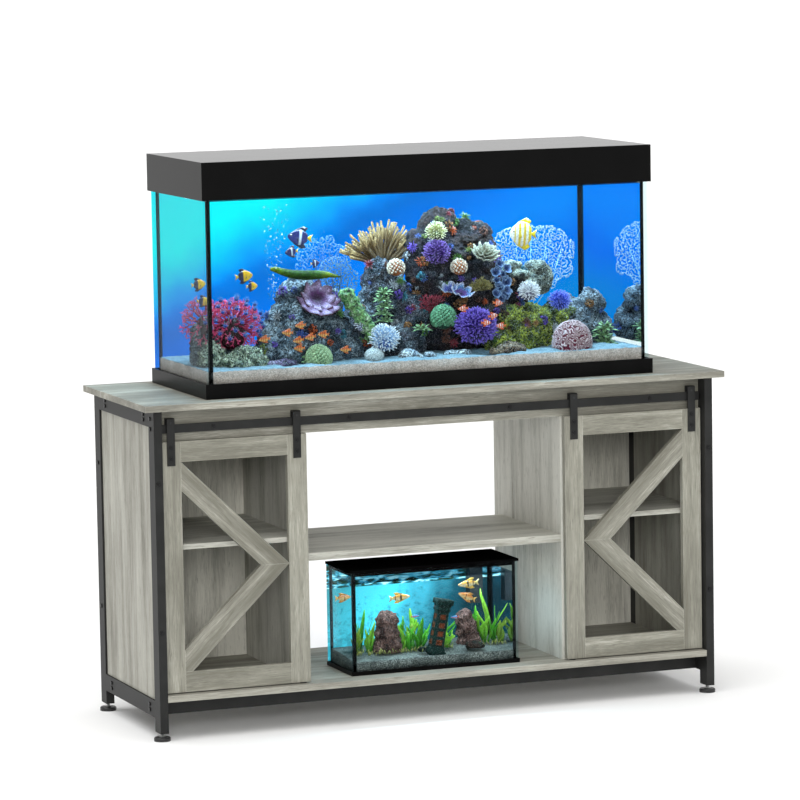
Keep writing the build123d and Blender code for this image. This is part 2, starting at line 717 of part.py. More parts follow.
lid_z = (small_glass_top, small_glass_top + small_lid_thickness)
lip_x = grown(small_inside_x, -small_lip_clearance)
lip_y = grown(small_inside_y, -small_lip_clearance)
lip_z = (small_glass_top - small_lip_depth, small_glass_top)
lip = block(lip_x, lip_y, lip_z)
lip = chamfer(lip.edges().filter_by(Axis.Z), small_seam_leg)
hollow = block(grown(lip_x, -small_lip_wall), grown(lip_y, -small_lip_wall), lip_z)
hollow = chamfer(hollow.edges().filter_by(Axis.Z), small_seam_leg)
parts["small_tank_lid"] = [block(small_x, small_y, lid_z) + (lip - hollow)]

# ---------------------------------------------------------------- write one file per node
os.makedirs("parts", exist_ok=True)
for name, solids in parts.items():
    shape = Compound(label=name, children=[s.solid() for s in solids])
    export_step(shape, f"parts/{name}.step")
print(len(parts), "nodes, door travel", door_travel, "roller radius", roller_tread_radius)
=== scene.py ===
import sys
import json
import logging
import math
import random
from dataclasses import dataclass, replace
from enum import Enum
from functools import partial
from typing import Any, Callable, Sequence

import bmesh
import bpy
import numpy as np
from bpy.types import ID, Material, Mesh, Node, NodeSocket, NodeTree, Object
from mathutils import Matrix, Vector, noise

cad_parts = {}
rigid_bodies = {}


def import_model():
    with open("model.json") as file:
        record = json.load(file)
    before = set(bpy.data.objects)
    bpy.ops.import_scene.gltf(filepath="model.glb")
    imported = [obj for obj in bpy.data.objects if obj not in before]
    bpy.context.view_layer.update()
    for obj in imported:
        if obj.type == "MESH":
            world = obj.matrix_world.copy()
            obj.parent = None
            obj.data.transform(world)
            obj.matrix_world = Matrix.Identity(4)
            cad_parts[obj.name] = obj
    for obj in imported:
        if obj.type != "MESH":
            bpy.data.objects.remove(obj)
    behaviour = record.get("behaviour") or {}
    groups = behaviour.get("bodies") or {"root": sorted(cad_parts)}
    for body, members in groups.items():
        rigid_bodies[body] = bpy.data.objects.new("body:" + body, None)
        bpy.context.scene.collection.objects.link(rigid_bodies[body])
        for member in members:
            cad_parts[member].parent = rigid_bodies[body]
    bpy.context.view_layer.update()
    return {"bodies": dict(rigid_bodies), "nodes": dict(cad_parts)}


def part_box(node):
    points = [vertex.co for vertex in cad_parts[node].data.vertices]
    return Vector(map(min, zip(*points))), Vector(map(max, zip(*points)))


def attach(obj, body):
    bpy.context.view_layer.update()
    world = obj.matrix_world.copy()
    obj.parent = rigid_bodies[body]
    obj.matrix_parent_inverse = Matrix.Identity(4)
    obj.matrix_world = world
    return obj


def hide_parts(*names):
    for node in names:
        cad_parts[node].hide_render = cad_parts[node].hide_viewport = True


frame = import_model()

# An aquarium on a barn-door stand. Lengths in this script are in millimetres and become metres
# where a mesh is made. Places come from the CAD nodes' boxes.

LOG = logging.getLogger("aquarium")
MM = 0.001
UP = Vector((0.0, 0.0, 1.0))
GOLDEN = math.pi * (3 - math.sqrt(5))
LAMP_DEPTH = 40.0
PANE_GAP = 1.5  # between the water and the panes
LEAF_MM = 0.7
SUNK_MM = 3.0  # how far rocks reach down into a bed
MIX_A, MIX_B = 6, 7  # the colour inputs of a Mix node
Colour = tuple[float, float, float, float]
Tints = Colour | list[Colour]
Point = tuple[float, float, float]
Stops = Sequence[tuple[float, str]]
Adder = Callable[..., Node]


# ------------------------------------------------------------------ colours and shader nodes
def linear(code: str) -> Colour:
    """Turn an sRGB hex colour into linear light.

    Args:
        code: Six hex digits, such as "A5A394".

    Returns:
        Red, green, blue and an alpha of one.
    """
    shares = [int(code[i : i + 2], 16) / 255 for i in (0, 2, 4)]
    red, green, blue = ((c / 12.92) if c <= 0.04045 else ((c + 0.055) / 1.055) ** 2.4 for c in shares)
    return (red, green, blue, 1.0)


WHITE, BLACK = linear("FFFFFF"), linear("050505")


def mixed(first: Colour, second: Colour, share: float) -> Colour:
    """Blend two linear colours; a share of one gives the second."""
    share = min(1.0, max(0.0, share))
    return tuple(a + (b - a) * share for a, b in zip(first, second))


def along(colours: Sequence[Colour], share: float) -> Colour:
    """Blend through a row of colours, from the first at 0 to the last at 1.

    Args:
        colours: Two or more linear colours.
        share: The place along the row.

    Returns:
        The colour there.
    """
    run = share * (len(colours) - 1)
    first = min(int(run), len(colours) - 2)
    return mixed(colours[first], colours[first + 1], run - first)


def dimmed(colour: Colour, share: float) -> Colour:
    """Scale a linear colour's light."""
    return (colour[0] * share, colour[1] * share, colour[2] * share, 1.0)


def per_mm(size: float) -> float:
    """The texture scale at which one cell of a pattern is this many millimetres wide."""
    return 1.0 / (size * MM)


def add_node(
    tree: NodeTree, kind: str, values: dict[Any, Any] | None = None, stops: Stops = (),
    **settings: Any,
) -> Node:
    """Add a shader node with its settings and links.

    Args:
        tree: The node tree that it goes into.
        kind: The node's type name without its ShaderNode prefix.
        values: Input name or number to a plain value, to a socket that gets linked, or to a node
            whose first output in use gets linked.
        stops: Places and hex colours of a colour ramp.
        settings: Other properties of the node.

    Returns:
        The new node.
    """
    node = tree.nodes.new("ShaderNode" + kind)
    for name, value in settings.items():
        setattr(node, name, value)
    for key, value in (values or {}).items():
        if isinstance(value, Node):
            value = next(output for output in value.outputs if output.enabled)
        if isinstance(value, NodeSocket):
            tree.links.new(value, node.inputs[key])
        else:
            node.inputs[key].default_value = value
    if stops:
        elements = node.color_ramp.elements
        while len(elements) < len(stops):
            elements.new(0.5)
        for element, (place, code) in zip(elements, stops):
            element.position = place
            element.color = linear(code)
    return node


class Grain(Enum):
    """The direction that the wood grain runs in, as the turn that brings it upright."""

    ALONG = (0.0, math.pi / 2, 0.0)
    UPRIGHT = (0.0, 0.0, 0.0)
    BRACE = (0.0, 0.0, 1.0)


@dataclass(frozen=True)
class Finish:
    """A material: what it is made of and how its surface was made."""

    name: str
    roughness: float = 0.5

    def material(self) -> Material:
        """Make this finish's Blender material, once.

        Returns:
            The material.
        """
        known = bpy.data.materials.get(self.name)
        if known:
            return known
        made = bpy.data.materials.new(self.name)
        made.use_nodes = True
        made.node_tree.nodes.clear()
        add = partial(add_node, made.node_tree)
        add("OutputMaterial", {"Surface": self.surface(add)})
        return made

    def surface(self, add: Adder) -> Node:
        """Build the shader; each kind of finish has its own."""
        raise NotImplementedError

    def place(self, add: Adder) -> NodeSocket:
        """The place on the object, in metres, that patterns are laid out by."""
        return add("TexCoord").outputs["Object"]


@dataclass(frozen=True)
class GreyOak(Finish):
    """Particle board with a melamine face, pressed and printed as grey-washed oak, satin.

    The print gives long fibres, slow bands of tone and a few dark knots; the press leaves a shallow
    pore relief. A paler colour is painted along the edges and corners: a painted highlight where the
    edge bands would catch the light.
    """

    grain: Grain = Grain.UPRIGHT
    seed: float = 0.0
    light: str = "A9A79B"
    dark: str = "87857A"
    vein: str = "646156"
    pale: str = "BDBBB0"
    knot: str = "4A473F"
    # the colour of the painted highlight along edges and corners
    edge: str = "CFCDC2"
    ior: float = 1.5
    fibre_mm: float = 1.3
    band_mm: float = 17.0
    cloud_mm: float = 55.0
    wander_mm: float = 70.0
    pore_mm: float = 3.2
    knot_mm: float = 85.0
    corner_mm: float = 1.2
    stretch: float = 32.0
    brace_tip: Point = (0.0, 0.0, 0.0)
    brace_slope: float = 0.0

    def laid(self, add: Adder) -> Node:
        """Turn the pattern so that its Z runs with the grain.

        Args:
            add: Adds a node to the material.

        Returns:
            The node with the turned place.
        """
        source, turn = self.place(add), self.grain.value
        if self.grain is Grain.BRACE:
            away = tuple(-c for c in self.brace_tip)
            centred = add("VectorMath", {0: source, 1: away}, operation="ADD")
            source = add("VectorMath", {0: centred}, operation="ABSOLUTE")
            turn = (0.0, self.brace_slope, 0.0)
        moved = (self.seed, self.seed * 1.7, self.seed * 0.6)
        return add("Mapping", {"Vector": source, "Rotation": turn, "Location": moved})

    def surface(self, add: Adder) -> Node:
        """Fibres, bands, pore marks and knots over a satin print.

        Args:
            add: Adds a node to the material.

        Returns:
            The surface's node.
        """
        laid = self.laid(add)
        slow, drawn, short = (
            add("Mapping", {"Vector": laid, "Scale": (1.0, 1.0, share)})
            for share in (0.15, 1.0 / self.stretch, 0.1)
        )
        wander = add("TexNoise", {"Vector": slow, "Scale": per_mm(self.wander_mm), "Detail": 2.0})
        shift = add("VectorMath", {0: wander.outputs["Color"], "Scale": 0.014}, operation="SCALE")
        bent = add("VectorMath", {0: drawn, 1: shift}, operation="ADD")
        fibre, band, cloud, pore = (
            add("TexNoise", {"Vector": way, "Scale": per_mm(size), "Detail": detail, "Roughness": rough})
            for way, size, detail, rough in (
                (bent, self.fibre_mm, 5.0, 0.7), (bent, self.band_mm, 5.0, 0.62),
                (slow, self.cloud_mm, 5.0, 0.6), (short, self.pore_mm, 3.0, 0.6),
            )
        )
        share = add("Math", {0: fibre, 1: 0.36}, operation="MULTIPLY")
        for part, weight in ((band, 0.26), (cloud, 0.38)):
            share = add("Math", {0: part, 1: weight, 2: share}, operation="MULTIPLY_ADD")
        stops = [(0.36, self.vein), (0.455, self.dark), (0.54, self.light), (0.65, self.pale)]
        tone = add("ValToRGB", {0: share}, stops)
        marks = add("MapRange", {"Value": pore, "From Min": 0.60, "From Max": 0.70, "To Max": 0.6})
        cells = add("TexVoronoi", {"Vector": slow, "Scale": per_mm(self.knot_mm), "Randomness": 1.0})
        knots = add("MapRange", {"Value": cells, "From Min": 0.085, "From Max": 0.02, "To Max": 0.8})
        rounded = add("Bevel", {"Radius": self.corner_mm * MM}, samples=4)
        flat = add("NewGeometry").outputs["Normal"]
        same = add("VectorMath", {0: rounded, 1: flat}, operation="DOT_PRODUCT")
        # Painted highlight: the edge colour is mixed in where the rounded normal leaves the flat one, along
        # edges and corners.
        edges = add("MapRange", {"Value": same, "From Min": 0.995, "From Max": 0.86, "To Max": 0.5})
        for mask, code in ((marks, self.vein), (knots, self.knot), (edges, self.edge)):
            tone = add("Mix", {"Factor": mask, MIX_A: tone, MIX_B: linear(code)}, data_type="RGBA")
        relief = {"Strength": 0.3, "Distance": 0.4 * MM, "Height": fibre, "Normal": rounded}
        rough = {"To Min": self.roughness - 0.06, "To Max": self.roughness + 0.08}
        return add("BsdfPrincipled", {
            "Base Color": tone, "Roughness": add("MapRange", {"Value": fibre, **rough}), "IOR": self.ior,
            "Specular IOR Level": 0.3, "Normal": add("Bump", relief),
        })


@dataclass(frozen=True)
class Coated(Finish):
    """A coated, moulded or plated part of one colour, with the fine relief of how it was made.

    Powder coat has an orange-peel relief, moulded plastic a fine spark grain, and plated steel
    hardly any. Dust gives all of them a faint cloudiness.
    """

    colour: str = "3C3B38"
    cloud: str = "4A4946"
    relief_mm: float = 0.6
    relief_strength: float = 0.2
    relief_depth_mm: float = 0.15
    corner_mm: float = 0.9
    cloud_mm: float = 70.0
    metallic: float = 0.0
    specular: float = 0.5
    wear: float = 0.05

    def surface(self, add: Adder) -> Node:
        """One colour with slow clouds, a fine relief and rounded corners.

        Args:
            add: Adds a node to the material.

        Returns:
            The surface's node.
        """
        place = self.place(add)
        clouds = add("TexNoise", {"Vector": place, "Scale": per_mm(self.cloud_mm), "Detail": 5.0})
        peel = add("TexNoise", {"Vector": place, "Scale": per_mm(self.relief_mm), "Detail": 2.0})
        relief = add("Bump", {
            "Strength": self.relief_strength, "Distance": self.relief_depth_mm * MM, "Height": peel,
            "Normal": add("Bevel", {"Radius": self.corner_mm * MM}, samples=4),
        })
        rough = {"To Min": self.roughness - self.wear, "To Max": self.roughness + self.wear}
        return add("BsdfPrincipled", {
            "Base Color": add("ValToRGB", {0: clouds}, [(0.38, self.colour), (0.68, self.cloud)]),
            "Roughness": add("MapRange", {"Value": clouds, **rough}),
            "Metallic": self.metallic, "Specular IOR Level": self.specular, "Normal": relief,
        })


@dataclass(frozen=True)
class FloatGlass(Finish):
    """Clear float glass: it lets light straight through, tinted a little, and mirrors at a glance.

    Seen from within, water's side face is the same: clear head-on, and a mirror past one angle.
    """

    tint: str = "F7FDFE"
    mirror: str = "74787C"
    face_on: float = 0.012
    at_a_glance: float = 0.9
    rise: float = 5.0
    clear_to: float = 0.0
    mirror_from: float = 1.0

    def surface(self, add: Adder) -> Node:
        """See-through, with a gloss that rises as Fresnel's does.

        Args:
            add: Adds a node to the material.

        Returns:
            The surface's node.
        """
        facing = add("LayerWeight", {"Blend": 0.5}).outputs["Facing"]
        risen = add("Math", {0: facing, 1: self.rise}, operation="POWER")
        share = add("MapRange", {
            "Value": risen, "From Min": self.clear_to, "From Max": self.mirror_from,
            "To Min": self.face_on, "To Max": self.at_a_glance,
        })
        through = add("BsdfTransparent", {"Color": linear(self.tint)})
        shine = add("BsdfGlossy", {"Color": linear(self.mirror), "Roughness": self.roughness})
        return add("MixShader", {0: share, 1: through, 2: shine})


@dataclass(frozen=True)
class PrintedFilm(Finish):
    """Vinyl film printed with open water; the print has a painted glow, in place of the tank's lamp light.

    The print is a slanted run of colours with faint clouds. It can have weeds low down, and high up
    the rippled top of the water, seen from below: painted light and reflections.
    """

    low: Point = (0.0, 0.0, 0.0)
    high: Point = (1.0, 1.0, 1.0)
    stops: Stops = ()
    slant: float = 0.35
    clouds_mm: float = 90.0
    cloud_depth: float = 0.10
    glow: float = 1.0
    ripple_from_mm: float = 0.0
    ripple_mm: float = 7.0
    weed: str = "17444F"
    weed_mm: float = 15.0
    ink: str = "04101A"

    def surface(self, add: Adder) -> Node:
        """The print, with a painted glow.

        Args:
            add: Adds a node to the material.

        Returns:
            The surface's node.
        """
        place = self.place(add)
        axes = add("SeparateXYZ", {0: place})
        height = axes.outputs["Z"]
        way = add("MapRange", {"Value": axes, "From Min": self.low[0], "From Max": self.high[0]})
        down = {"From Min": self.high[2], "From Max": self.low[2], "To Max": self.slant}
        clouds = add("TexNoise", {"Vector": place, "Scale": per_mm(self.clouds_mm), "Detail": 5.0})
        drift = {"Value": clouds, "To Min": -self.cloud_depth, "To Max": self.cloud_depth}
        for part in (add("MapRange", {"Value": height, **down}), add("MapRange", drift)):
            way = add("Math", {0: way, 1: part}, operation="ADD")
        longest = self.stops[-1][0]
        way = add("Math", {0: way, 1: 1 / longest}, operation="MULTIPLY")
        shown = add("ValToRGB", {0: way}, [(at / longest, code) for at, code in self.stops])
        if self.ripple_from_mm:
            shown = self.with_ripples(add, shown, height)
        # A painted glow: the print gives off light of its own.
        return add("BsdfPrincipled", {
            "Base Color": linear(self.ink), "Roughness": self.roughness, "Specular IOR Level": 0.0,
            "Emission Color": shown, "Emission Strength": self.glow,
        })

    def with_ripples(self, add: Adder, colour: Node, height: NodeSocket) -> Node:
        """Print weeds low down, and paint the light and reflections of the rippled water top high up.

        Args:
            add: Adds a node to the material.
            colour: The print so far.
            height: The height in metres.

        Returns:
            The print with both.
        """
        place = self.place(add)
        weeds = {"Vector": place, "Scale": per_mm(self.weed_mm), "Detail": 8.0, "Roughness": 0.78}
        low = {"From Min": self.low[2], "From Max": self.high[2], "To Min": 0.16, "To Max": -0.12}
        more = add("MapRange", {"Value": height, **low})
        thick = add("Math", {0: add("TexNoise", weeds), 1: more}, operation="ADD")
        mask = add("MapRange", {"Value": thick, "From Min": 0.54, "From Max": 0.64, "To Max": 0.5})
        weedy = {"Factor": mask, MIX_A: colour, MIX_B: linear(self.weed)}
        long = add("Mapping", {"Vector": place, "Scale": (0.3, 1.0, 1.0)})
        scale = per_mm(self.ripple_mm)
        waves = add("TexNoise", {"Vector": long, "Scale": scale, "Detail": 3.0, "Distortion": 0.6})
        painted_ripples = add("ValToRGB", {0: waves}, [
            (0.36, "14231C"), (0.43, "2C4A34"), (0.49, "2E7A94"), (0.55, "58C4DC"), (0.62, "C8F2F4"),
        ])
        # Painted light and reflection: the water's rippled top, seen from below, above this height.
        start = self.ripple_from_mm * MM
        above = add("MapRange", {"Value": height, "From Min": start, "From Max": start + 2.0 * MM})
        both = {"Factor": above, MIX_A: add("Mix", weedy, data_type="RGBA"), MIX_B: painted_ripples}
        return add("Mix", both, data_type="RGBA")


@dataclass(frozen=True)
class Mottled(Finish):
    """Rock, coral, skin or leaf whose main colours lie on its mesh, broken up by a fine mottle.

    The mottle darkens the hollows, partly the material's own uneven tone and partly painted shade, and
    leaves pale specks, as on porous stone, polyps or leaf veins. The whole colour can also be scaled
    down as painted shade, and some of these finishes have a painted glow.
    """

    mottle_mm: float = 5.0
    shade: float = 0.45
    bright: float = 1.15
    speck: str = "D8E6E6"
    speck_share: float = 0.0
    # depth scales the whole colour; below one it is painted shade for the dimmer light in the tanks
    depth: float = 0.55
    spread: float = 0.12
    relief_mm: float = 1.5
    pits_mm: float = 0.0
    # strength of a painted glow in the surface's own colour
    glow: float = 0.0
    specular: float = 0.35

    def surface(self, add: Adder) -> Node:
        """The mesh's colours under noise, with the same noise as relief; low noise is painted darker.

        Args:
            add: Adds a node to the material.

        Returns:
            The surface's node.
        """
        place = self.place(add)
        scale = per_mm(self.mottle_mm)
        height = add("TexNoise", {"Vector": place, "Scale": scale, "Detail": 6.0, "Roughness": 0.7})
        # Painted shade in part: where the noise is low, as in the relief's hollows, the colour is darker.
        depth = add("MapRange", {
            "Value": height, "From Min": 0.5 - self.spread, "From Max": 0.5 + self.spread,
            "To Min": self.shade * self.depth, "To Max": self.bright * self.depth,
        })
        tint = add("Attribute", attribute_name="tint")
        tone = add("VectorMath", {0: tint, "Scale": depth}, operation="SCALE")
        if self.speck_share:
            finer = {"Scale": per_mm(self.mottle_mm * 0.55), "Detail": 3.0, "Roughness": 0.6}
            dots = add("TexNoise", {"Vector": place, **finer})
            edge = 0.72 - 0.24 * self.speck_share
            mask = add("MapRange", {"Value": dots, "From Min": edge, "From Max": edge + 0.05})
            specked = {"Factor": mask, MIX_A: tone, MIX_B: linear(self.speck)}
            tone = add("Mix", specked, data_type="RGBA")
        if self.pits_mm:
            cells = add("TexVoronoi", {"Vector": place, "Scale": per_mm(self.pits_mm)})
            height = add("Math", {0: height, 1: cells}, operation="ADD")
        values = {
            "Base Color": tone, "Roughness": self.roughness, "Specular IOR Level": self.specular,
            "Normal": add("Bump", {"Strength": 0.8, "Distance": self.relief_mm * MM, "Height": height}),
        }
        # A painted glow: the surface gives off light in its own colour, though it is no lamp.
        if self.glow:
            values |= {"Emission Color": tone, "Emission Strength": self.glow}
        return add("BsdfPrincipled", values)


@dataclass(frozen=True)
class Grains(Finish):
    """Loose sand or gravel: each grain has its own tone and stands a little proud of the next.

    Beds are washed in and settle level. Their top faces get other tones than their sides: painted light
    from the lamps.
    """

    # the top faces' tones, with the lamps' light painted in
    tones: Stops = ()
    side_tones: Stops = ()
    grain_mm: float = 2.0
    relief_mm: float = 1.0
    patch_mm: float = 45.0

    def surface(self, add: Adder) -> Node:
        """Cells of mixed tones, with the lamps' light painted on top, and paler behind the glass.

        Args:
            add: Adds a node to the material.

        Returns:
            The surface's node.
        """
        place = self.place(add)
        cells = add("TexVoronoi", {"Vector": place, "Scale": per_mm(self.grain_mm)})
        patches = add("TexNoise", {"Vector": place, "Scale": per_mm(self.patch_mm), "Detail": 4.0})
        pick = add("SeparateXYZ", {0: cells.outputs["Color"]})
        both = add("Math", {0: pick, 1: patches}, operation="ADD")
        share = add("Math", {0: both, 1: 0.5}, operation="MULTIPLY")
        # Painted light: faces that point up take the top tones, as lit by the lamps; the others take the
        # side tones.
        upward = add("SeparateXYZ", {0: add("NewGeometry").outputs["True Normal"]}).outputs["Z"]
        colour = add("Mix", {
            "Factor": add("MapRange", {"Value": upward, "From Min": 0.2, "From Max": 0.7}),
            MIX_A: add("ValToRGB", {0: share}, self.side_tones),
            MIX_B: add("ValToRGB", {0: share}, self.tones),
        }, data_type="RGBA")
        relief = {"Strength": 0.7, "Distance": self.relief_mm * MM, "Height": cells}
        return add("BsdfPrincipled", {
            "Base Color": colour, "Roughness": self.roughness, "Specular IOR Level": 0.3,
            "Normal": add("Bump", relief, invert=True),
        })


@dataclass(frozen=True)
class LampLens(Finish):
    """Frosted polycarbonate over LEDs: an even cool white glow, brighter at each LED."""

    body: str = "DCE6EE"
    at_led: str = "FFFFFF"
    between: str = "A9D8FF"
    pitch_mm: float = 18.0
    glow: float = 4.0

    def surface(self, add: Adder) -> Node:
        """A glow with a brighter spot at each LED.

        Args:
            add: Adds a node to the material.

        Returns:
            The surface's node.
        """
        grid = {"Scale": per_mm(self.pitch_mm), "Randomness": 0.0}
        cells = add("TexVoronoi", {"Vector": self.place(add), **grid})
        spots = add("ValToRGB", {0: cells}, [(0.1, self.at_led), (0.6, self.between)])
        return add("BsdfPrincipled", {
            "Base Color": linear(self.body), "Roughness": self.roughness,
            "Emission Color": spots, "Emission Strength": self.glow,
        })


@dataclass(frozen=True)
class LevellingFoot(Finish):
    """A zinc-plated stud in a moulded black foot: bright ridged thread above, matt plastic below."""

    zinc: str = "B4B5B3"
    plastic: str = "1B1B1B"
    disc_top_mm: float = 9.0
    thread_mm: float = 1.5

    def surface(self, add: Adder) -> Node:
        """Plastic up to the disc's top and threaded zinc above it.

        Args:
            add: Adds a node to the material.

        Returns:
            The surface's node.
        """
        place = self.place(add)
        height = add("SeparateXYZ", {0: place}).outputs["Z"]
        above = add("Math", {0: height, 1: self.disc_top_mm * MM}, operation="GREATER_THAN")
        scale = per_mm(self.thread_mm) / math.tau
        thread = add("TexWave", {"Vector": place, "Scale": scale}, bands_direction="Z").outputs["Fac"]
        ridges = add("Math", {0: thread, 1: above}, operation="MULTIPLY")
        tones = {MIX_A: linear(self.plastic), MIX_B: linear(self.zinc)}
        return add("BsdfPrincipled", {
            "Base Color": add("Mix", {"Factor": above, **tones}, data_type="RGBA"),
            "Metallic": above, "Roughness": self.roughness,
            "Normal": add("Bump", {"Strength": 0.8, "Distance": 0.6 * MM, "Height": ridges}),
        })


# ------------------------------------------------------------------ meshes
def turns(count: int) -> list[float]:
    """Angles spread evenly round a circle."""
    return [math.tau * k / count for k in range(count)]


def toward(lift: float, turn: float) -> Vector:
    """The direction at a height angle and a turn about Z."""
    return Vector((math.cos(lift) * math.cos(turn), math.cos(lift) * math.sin(turn), math.sin(lift)))


def dome_directions(count: int, lowest: float) -> list[Vector]:
    """Spread directions evenly over a dome.

    Args:
        count: How many there are.
        lowest: The rise of the lowest; straight up is 1.

    Returns:
        The directions, from straight up down.
    """
    directions = []
    for i in range(count):
        lift = 1 - (1 - lowest) * (i + 0.5) / count
        flat = math.sqrt(1 - lift * lift)
        directions.append(Vector((flat * math.cos(GOLDEN * i), flat * math.sin(GOLDEN * i), lift)))
    return directions


def linked(name: str, data: ID) -> Object:
    """Make an object and put it in the scene.

    Args:
        name: Its name.
        data: Its mesh, light or camera.

    Returns:
        The object.
    """
    made = bpy.data.objects.new(name, data)
    bpy.context.scene.collection.objects.link(made)
    return made


def tinted(mesh: Mesh, tints: Sequence[Colour], smooth: bool) -> None:
    """Put tints on a mesh's points and shade its faces.

    Args:
        mesh: The mesh.
        tints: A linear colour for each point.
        smooth: Whether its faces are shaded as one curve.
    """
    attribute = mesh.attributes.new("tint", "FLOAT_COLOR", "POINT")
    attribute.data.foreach_set("color", [c for colour in tints for c in colour])
    mesh.polygons.foreach_set("use_smooth", [smooth] * len(mesh.polygons))


class MeshMaker:
    """Gathers closed shapes, each point with a tint, into one object."""

    def __init__(self, name: str) -> None:
        """Start an empty mesh.

        Args:
            name: The name that the object will have.
        """
        self.name = name
        self.points: list[Vector] = []
        self.faces: list[tuple[int, ...]] = []
        self.tints: list[Colour] = []

    def add(self, points: list[Vector], faces: list[tuple[int, ...]], tint: Tints) -> None:
        """Add a shape.

        Args:
            points: Its corners, in millimetres.
            faces: Indices into those corners.
            tint: One linear colour, or one for each point.
        """
        start = len(self.points)
        self.points += points
        self.faces += [tuple(start + i for i in face) for face in faces]
        self.tints += tint if isinstance(tint, list) else [tint] * len(points)

    def join(self, other: "MeshMaker") -> None:
        """Add all of another mesh."""
        self.add(other.points, other.faces, other.tints)

    def loft(self, rings: list[list[Vector]], tints: Tints) -> None:
        """Join rings of as many points each into one skin, closed at both ends.

        Args:
            rings: The rings, from one end to the other.
            tints: One colour, or one for each ring or point.
        """
        sides = len(rings[0])
        points = [point for ring in rings for point in ring]
        if isinstance(tints, list) and len(tints) == len(rings):
            tints = [tint for tint in tints for _ in range(sides)]
        faces = []
        for start in range(0, (len(rings) - 1) * sides, sides):
            for i in range(sides):
                j = (i + 1) % sides
                faces.append((start + i, start + j, start + sides + j, start + sides + i))
        last = (len(rings) - 1) * sides
        faces.append(tuple(reversed(range(sides))))
        faces.append(tuple(last + i for i in range(sides)))
        self.add(points, faces, tints)

    def tube(
        self, path: Sequence[Vector], radii: float | Sequence[float], tints: Tints,
        sides: int = 8, flat: float = 1.0,
    ) -> None:
        """Add a round or flattened tube along a path.

        Args:
            path: The points of its middle line.
            radii: One radius, or one for each point.
            tints: One colour, or one for each point.
            sides: How many sides its section has.
            flat: The section's second radius as a share of its first.
        """
        radii = [radii] * len(path) if isinstance(radii, (int, float)) else radii
        side = (path[1] - path[0]).orthogonal().normalized()
        rings = []
        for i, (middle, radius) in enumerate(zip(path, radii)):
            ahead = (path[min(i + 1, len(path) - 1)] - path[max(i - 1, 0)]).normalized()
            side = (side - ahead * side.dot(ahead)).normalized()
            other = ahead.cross(side) * flat
            section = [side * math.cos(t) + other * math.sin(t) for t in turns(sides)]
            rings.append([middle + away * radius for away in section])
        self.loft(rings, tints)

    def ball(
        self, centre: Vector, radii: Point | float, tint: Colour, rings: int = 8, sides: int = 12
    ) -> None:
        """Add an ellipsoid.

        Args:
            centre: Its middle.
            radii: Its three radii, or one for all.
            tint: Its colour.
            rings: How many rings it has.
            sides: How many sides each ring has.
        """
        sizes = (radii,) * 3 if isinstance(radii, (int, float)) else radii
        size = Matrix.Diagonal(sizes)
        lifts = [math.pi * (a + 0.12) / (rings - 0.76) - math.pi / 2 for a in range(rings)]
        self.loft([[centre + size @ toward(lift, t) for t in turns(sides)] for lift in lifts], tint)

    def sheet(self, grid: np.ndarray, thickness: float, tints: Tints, loop: bool = False) -> None:
        """Add a thin curved sheet with both faces and its edges.

        Args:
            grid: Its points, rows by columns by three.
            thickness: How thick it is.
            tints: One colour, or one for each grid point, row by row.
            loop: Whether its last column joins its first.
        """
        rows, columns = grid.shape[:2]
        along_rows, across = np.gradient(grid, axis=0), np.gradient(grid, axis=1)
        if loop:
            across = (np.roll(grid, -1, axis=1) - np.roll(grid, 1, axis=1)) / 2
        normal = np.cross(along_rows, across)
        normal /= np.linalg.norm(normal, axis=2, keepdims=True) + 1e-9
        half = normal * thickness / 2
        count = rows * columns
        points = [Vector(p) for face in (grid + half, grid - half) for p in face.reshape(-1, 3)]
        faces = []
        wide = columns if loop else columns - 1

        def wall(a: int, b: int, flip: bool) -> None:
            """Join an edge of the upper face to the lower face's."""
            faces.append((b, a, count + a, count + b) if flip else (a, b, count + b, count + a))

        for r in range(rows - 1):
            for c in range(wide):
                d = (c + 1) % columns
                corner = (r * columns + c, r * columns + d, (r + 1) * columns + d, (r + 1) * columns + c)
                faces.append(corner)
                faces.append(tuple(count + i for i in reversed(corner)))
        for r in (0, rows - 1):
            for c in range(wide):
                wall(r * columns + c, r * columns + (c + 1) % columns, r == 0)
        if not loop:
            for c in (0, columns - 1):
                for r in range(rows - 1):
                    wall(r * columns + c, (r + 1) * columns + c, c != 0)
        self.add(points, faces, tints + tints if isinstance(tints, list) else tints)

    def build(self, smooth: bool = True) -> Object:
        """Make the object, in metres, with its tints as a point attribute.

        Args:
            smooth: Whether its faces are shaded as one curve.

        Returns:
            The object.
        """
        mesh = bpy.data.meshes.new(self.name)
        mesh.from_pydata([point * MM for point in self.points], [], self.faces)
        mesh.validate()
        made = bmesh.new()
        made.from_mesh(mesh)
        bmesh.ops.recalc_face_normals(made, faces=made.faces)
        made.to_mesh(mesh)
        made.free()
        tinted(mesh, self.tints, smooth)
        mesh.update()
        return linked(self.name, mesh)


@dataclass
class Room:
    """The water's room over a bed: places are measured from its middle, front glass and bed."""

    left: float
    right: float
    front: float
    back: float
    bed: float
    top: float

    def spot(self, across: float, behind: float, above: float) -> Vector:
        """A point this far from the middle, behind the front glass and above the bed."""
        return Vector((across, self.front + behind, self.bed + above))


def box_mm(node: str) -> tuple[Vector, Vector]:
    """A CAD node's lowest and highest corners, in millimetres."""
    low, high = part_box(node)
    return Vector(low) / MM, Vector(high) / MM


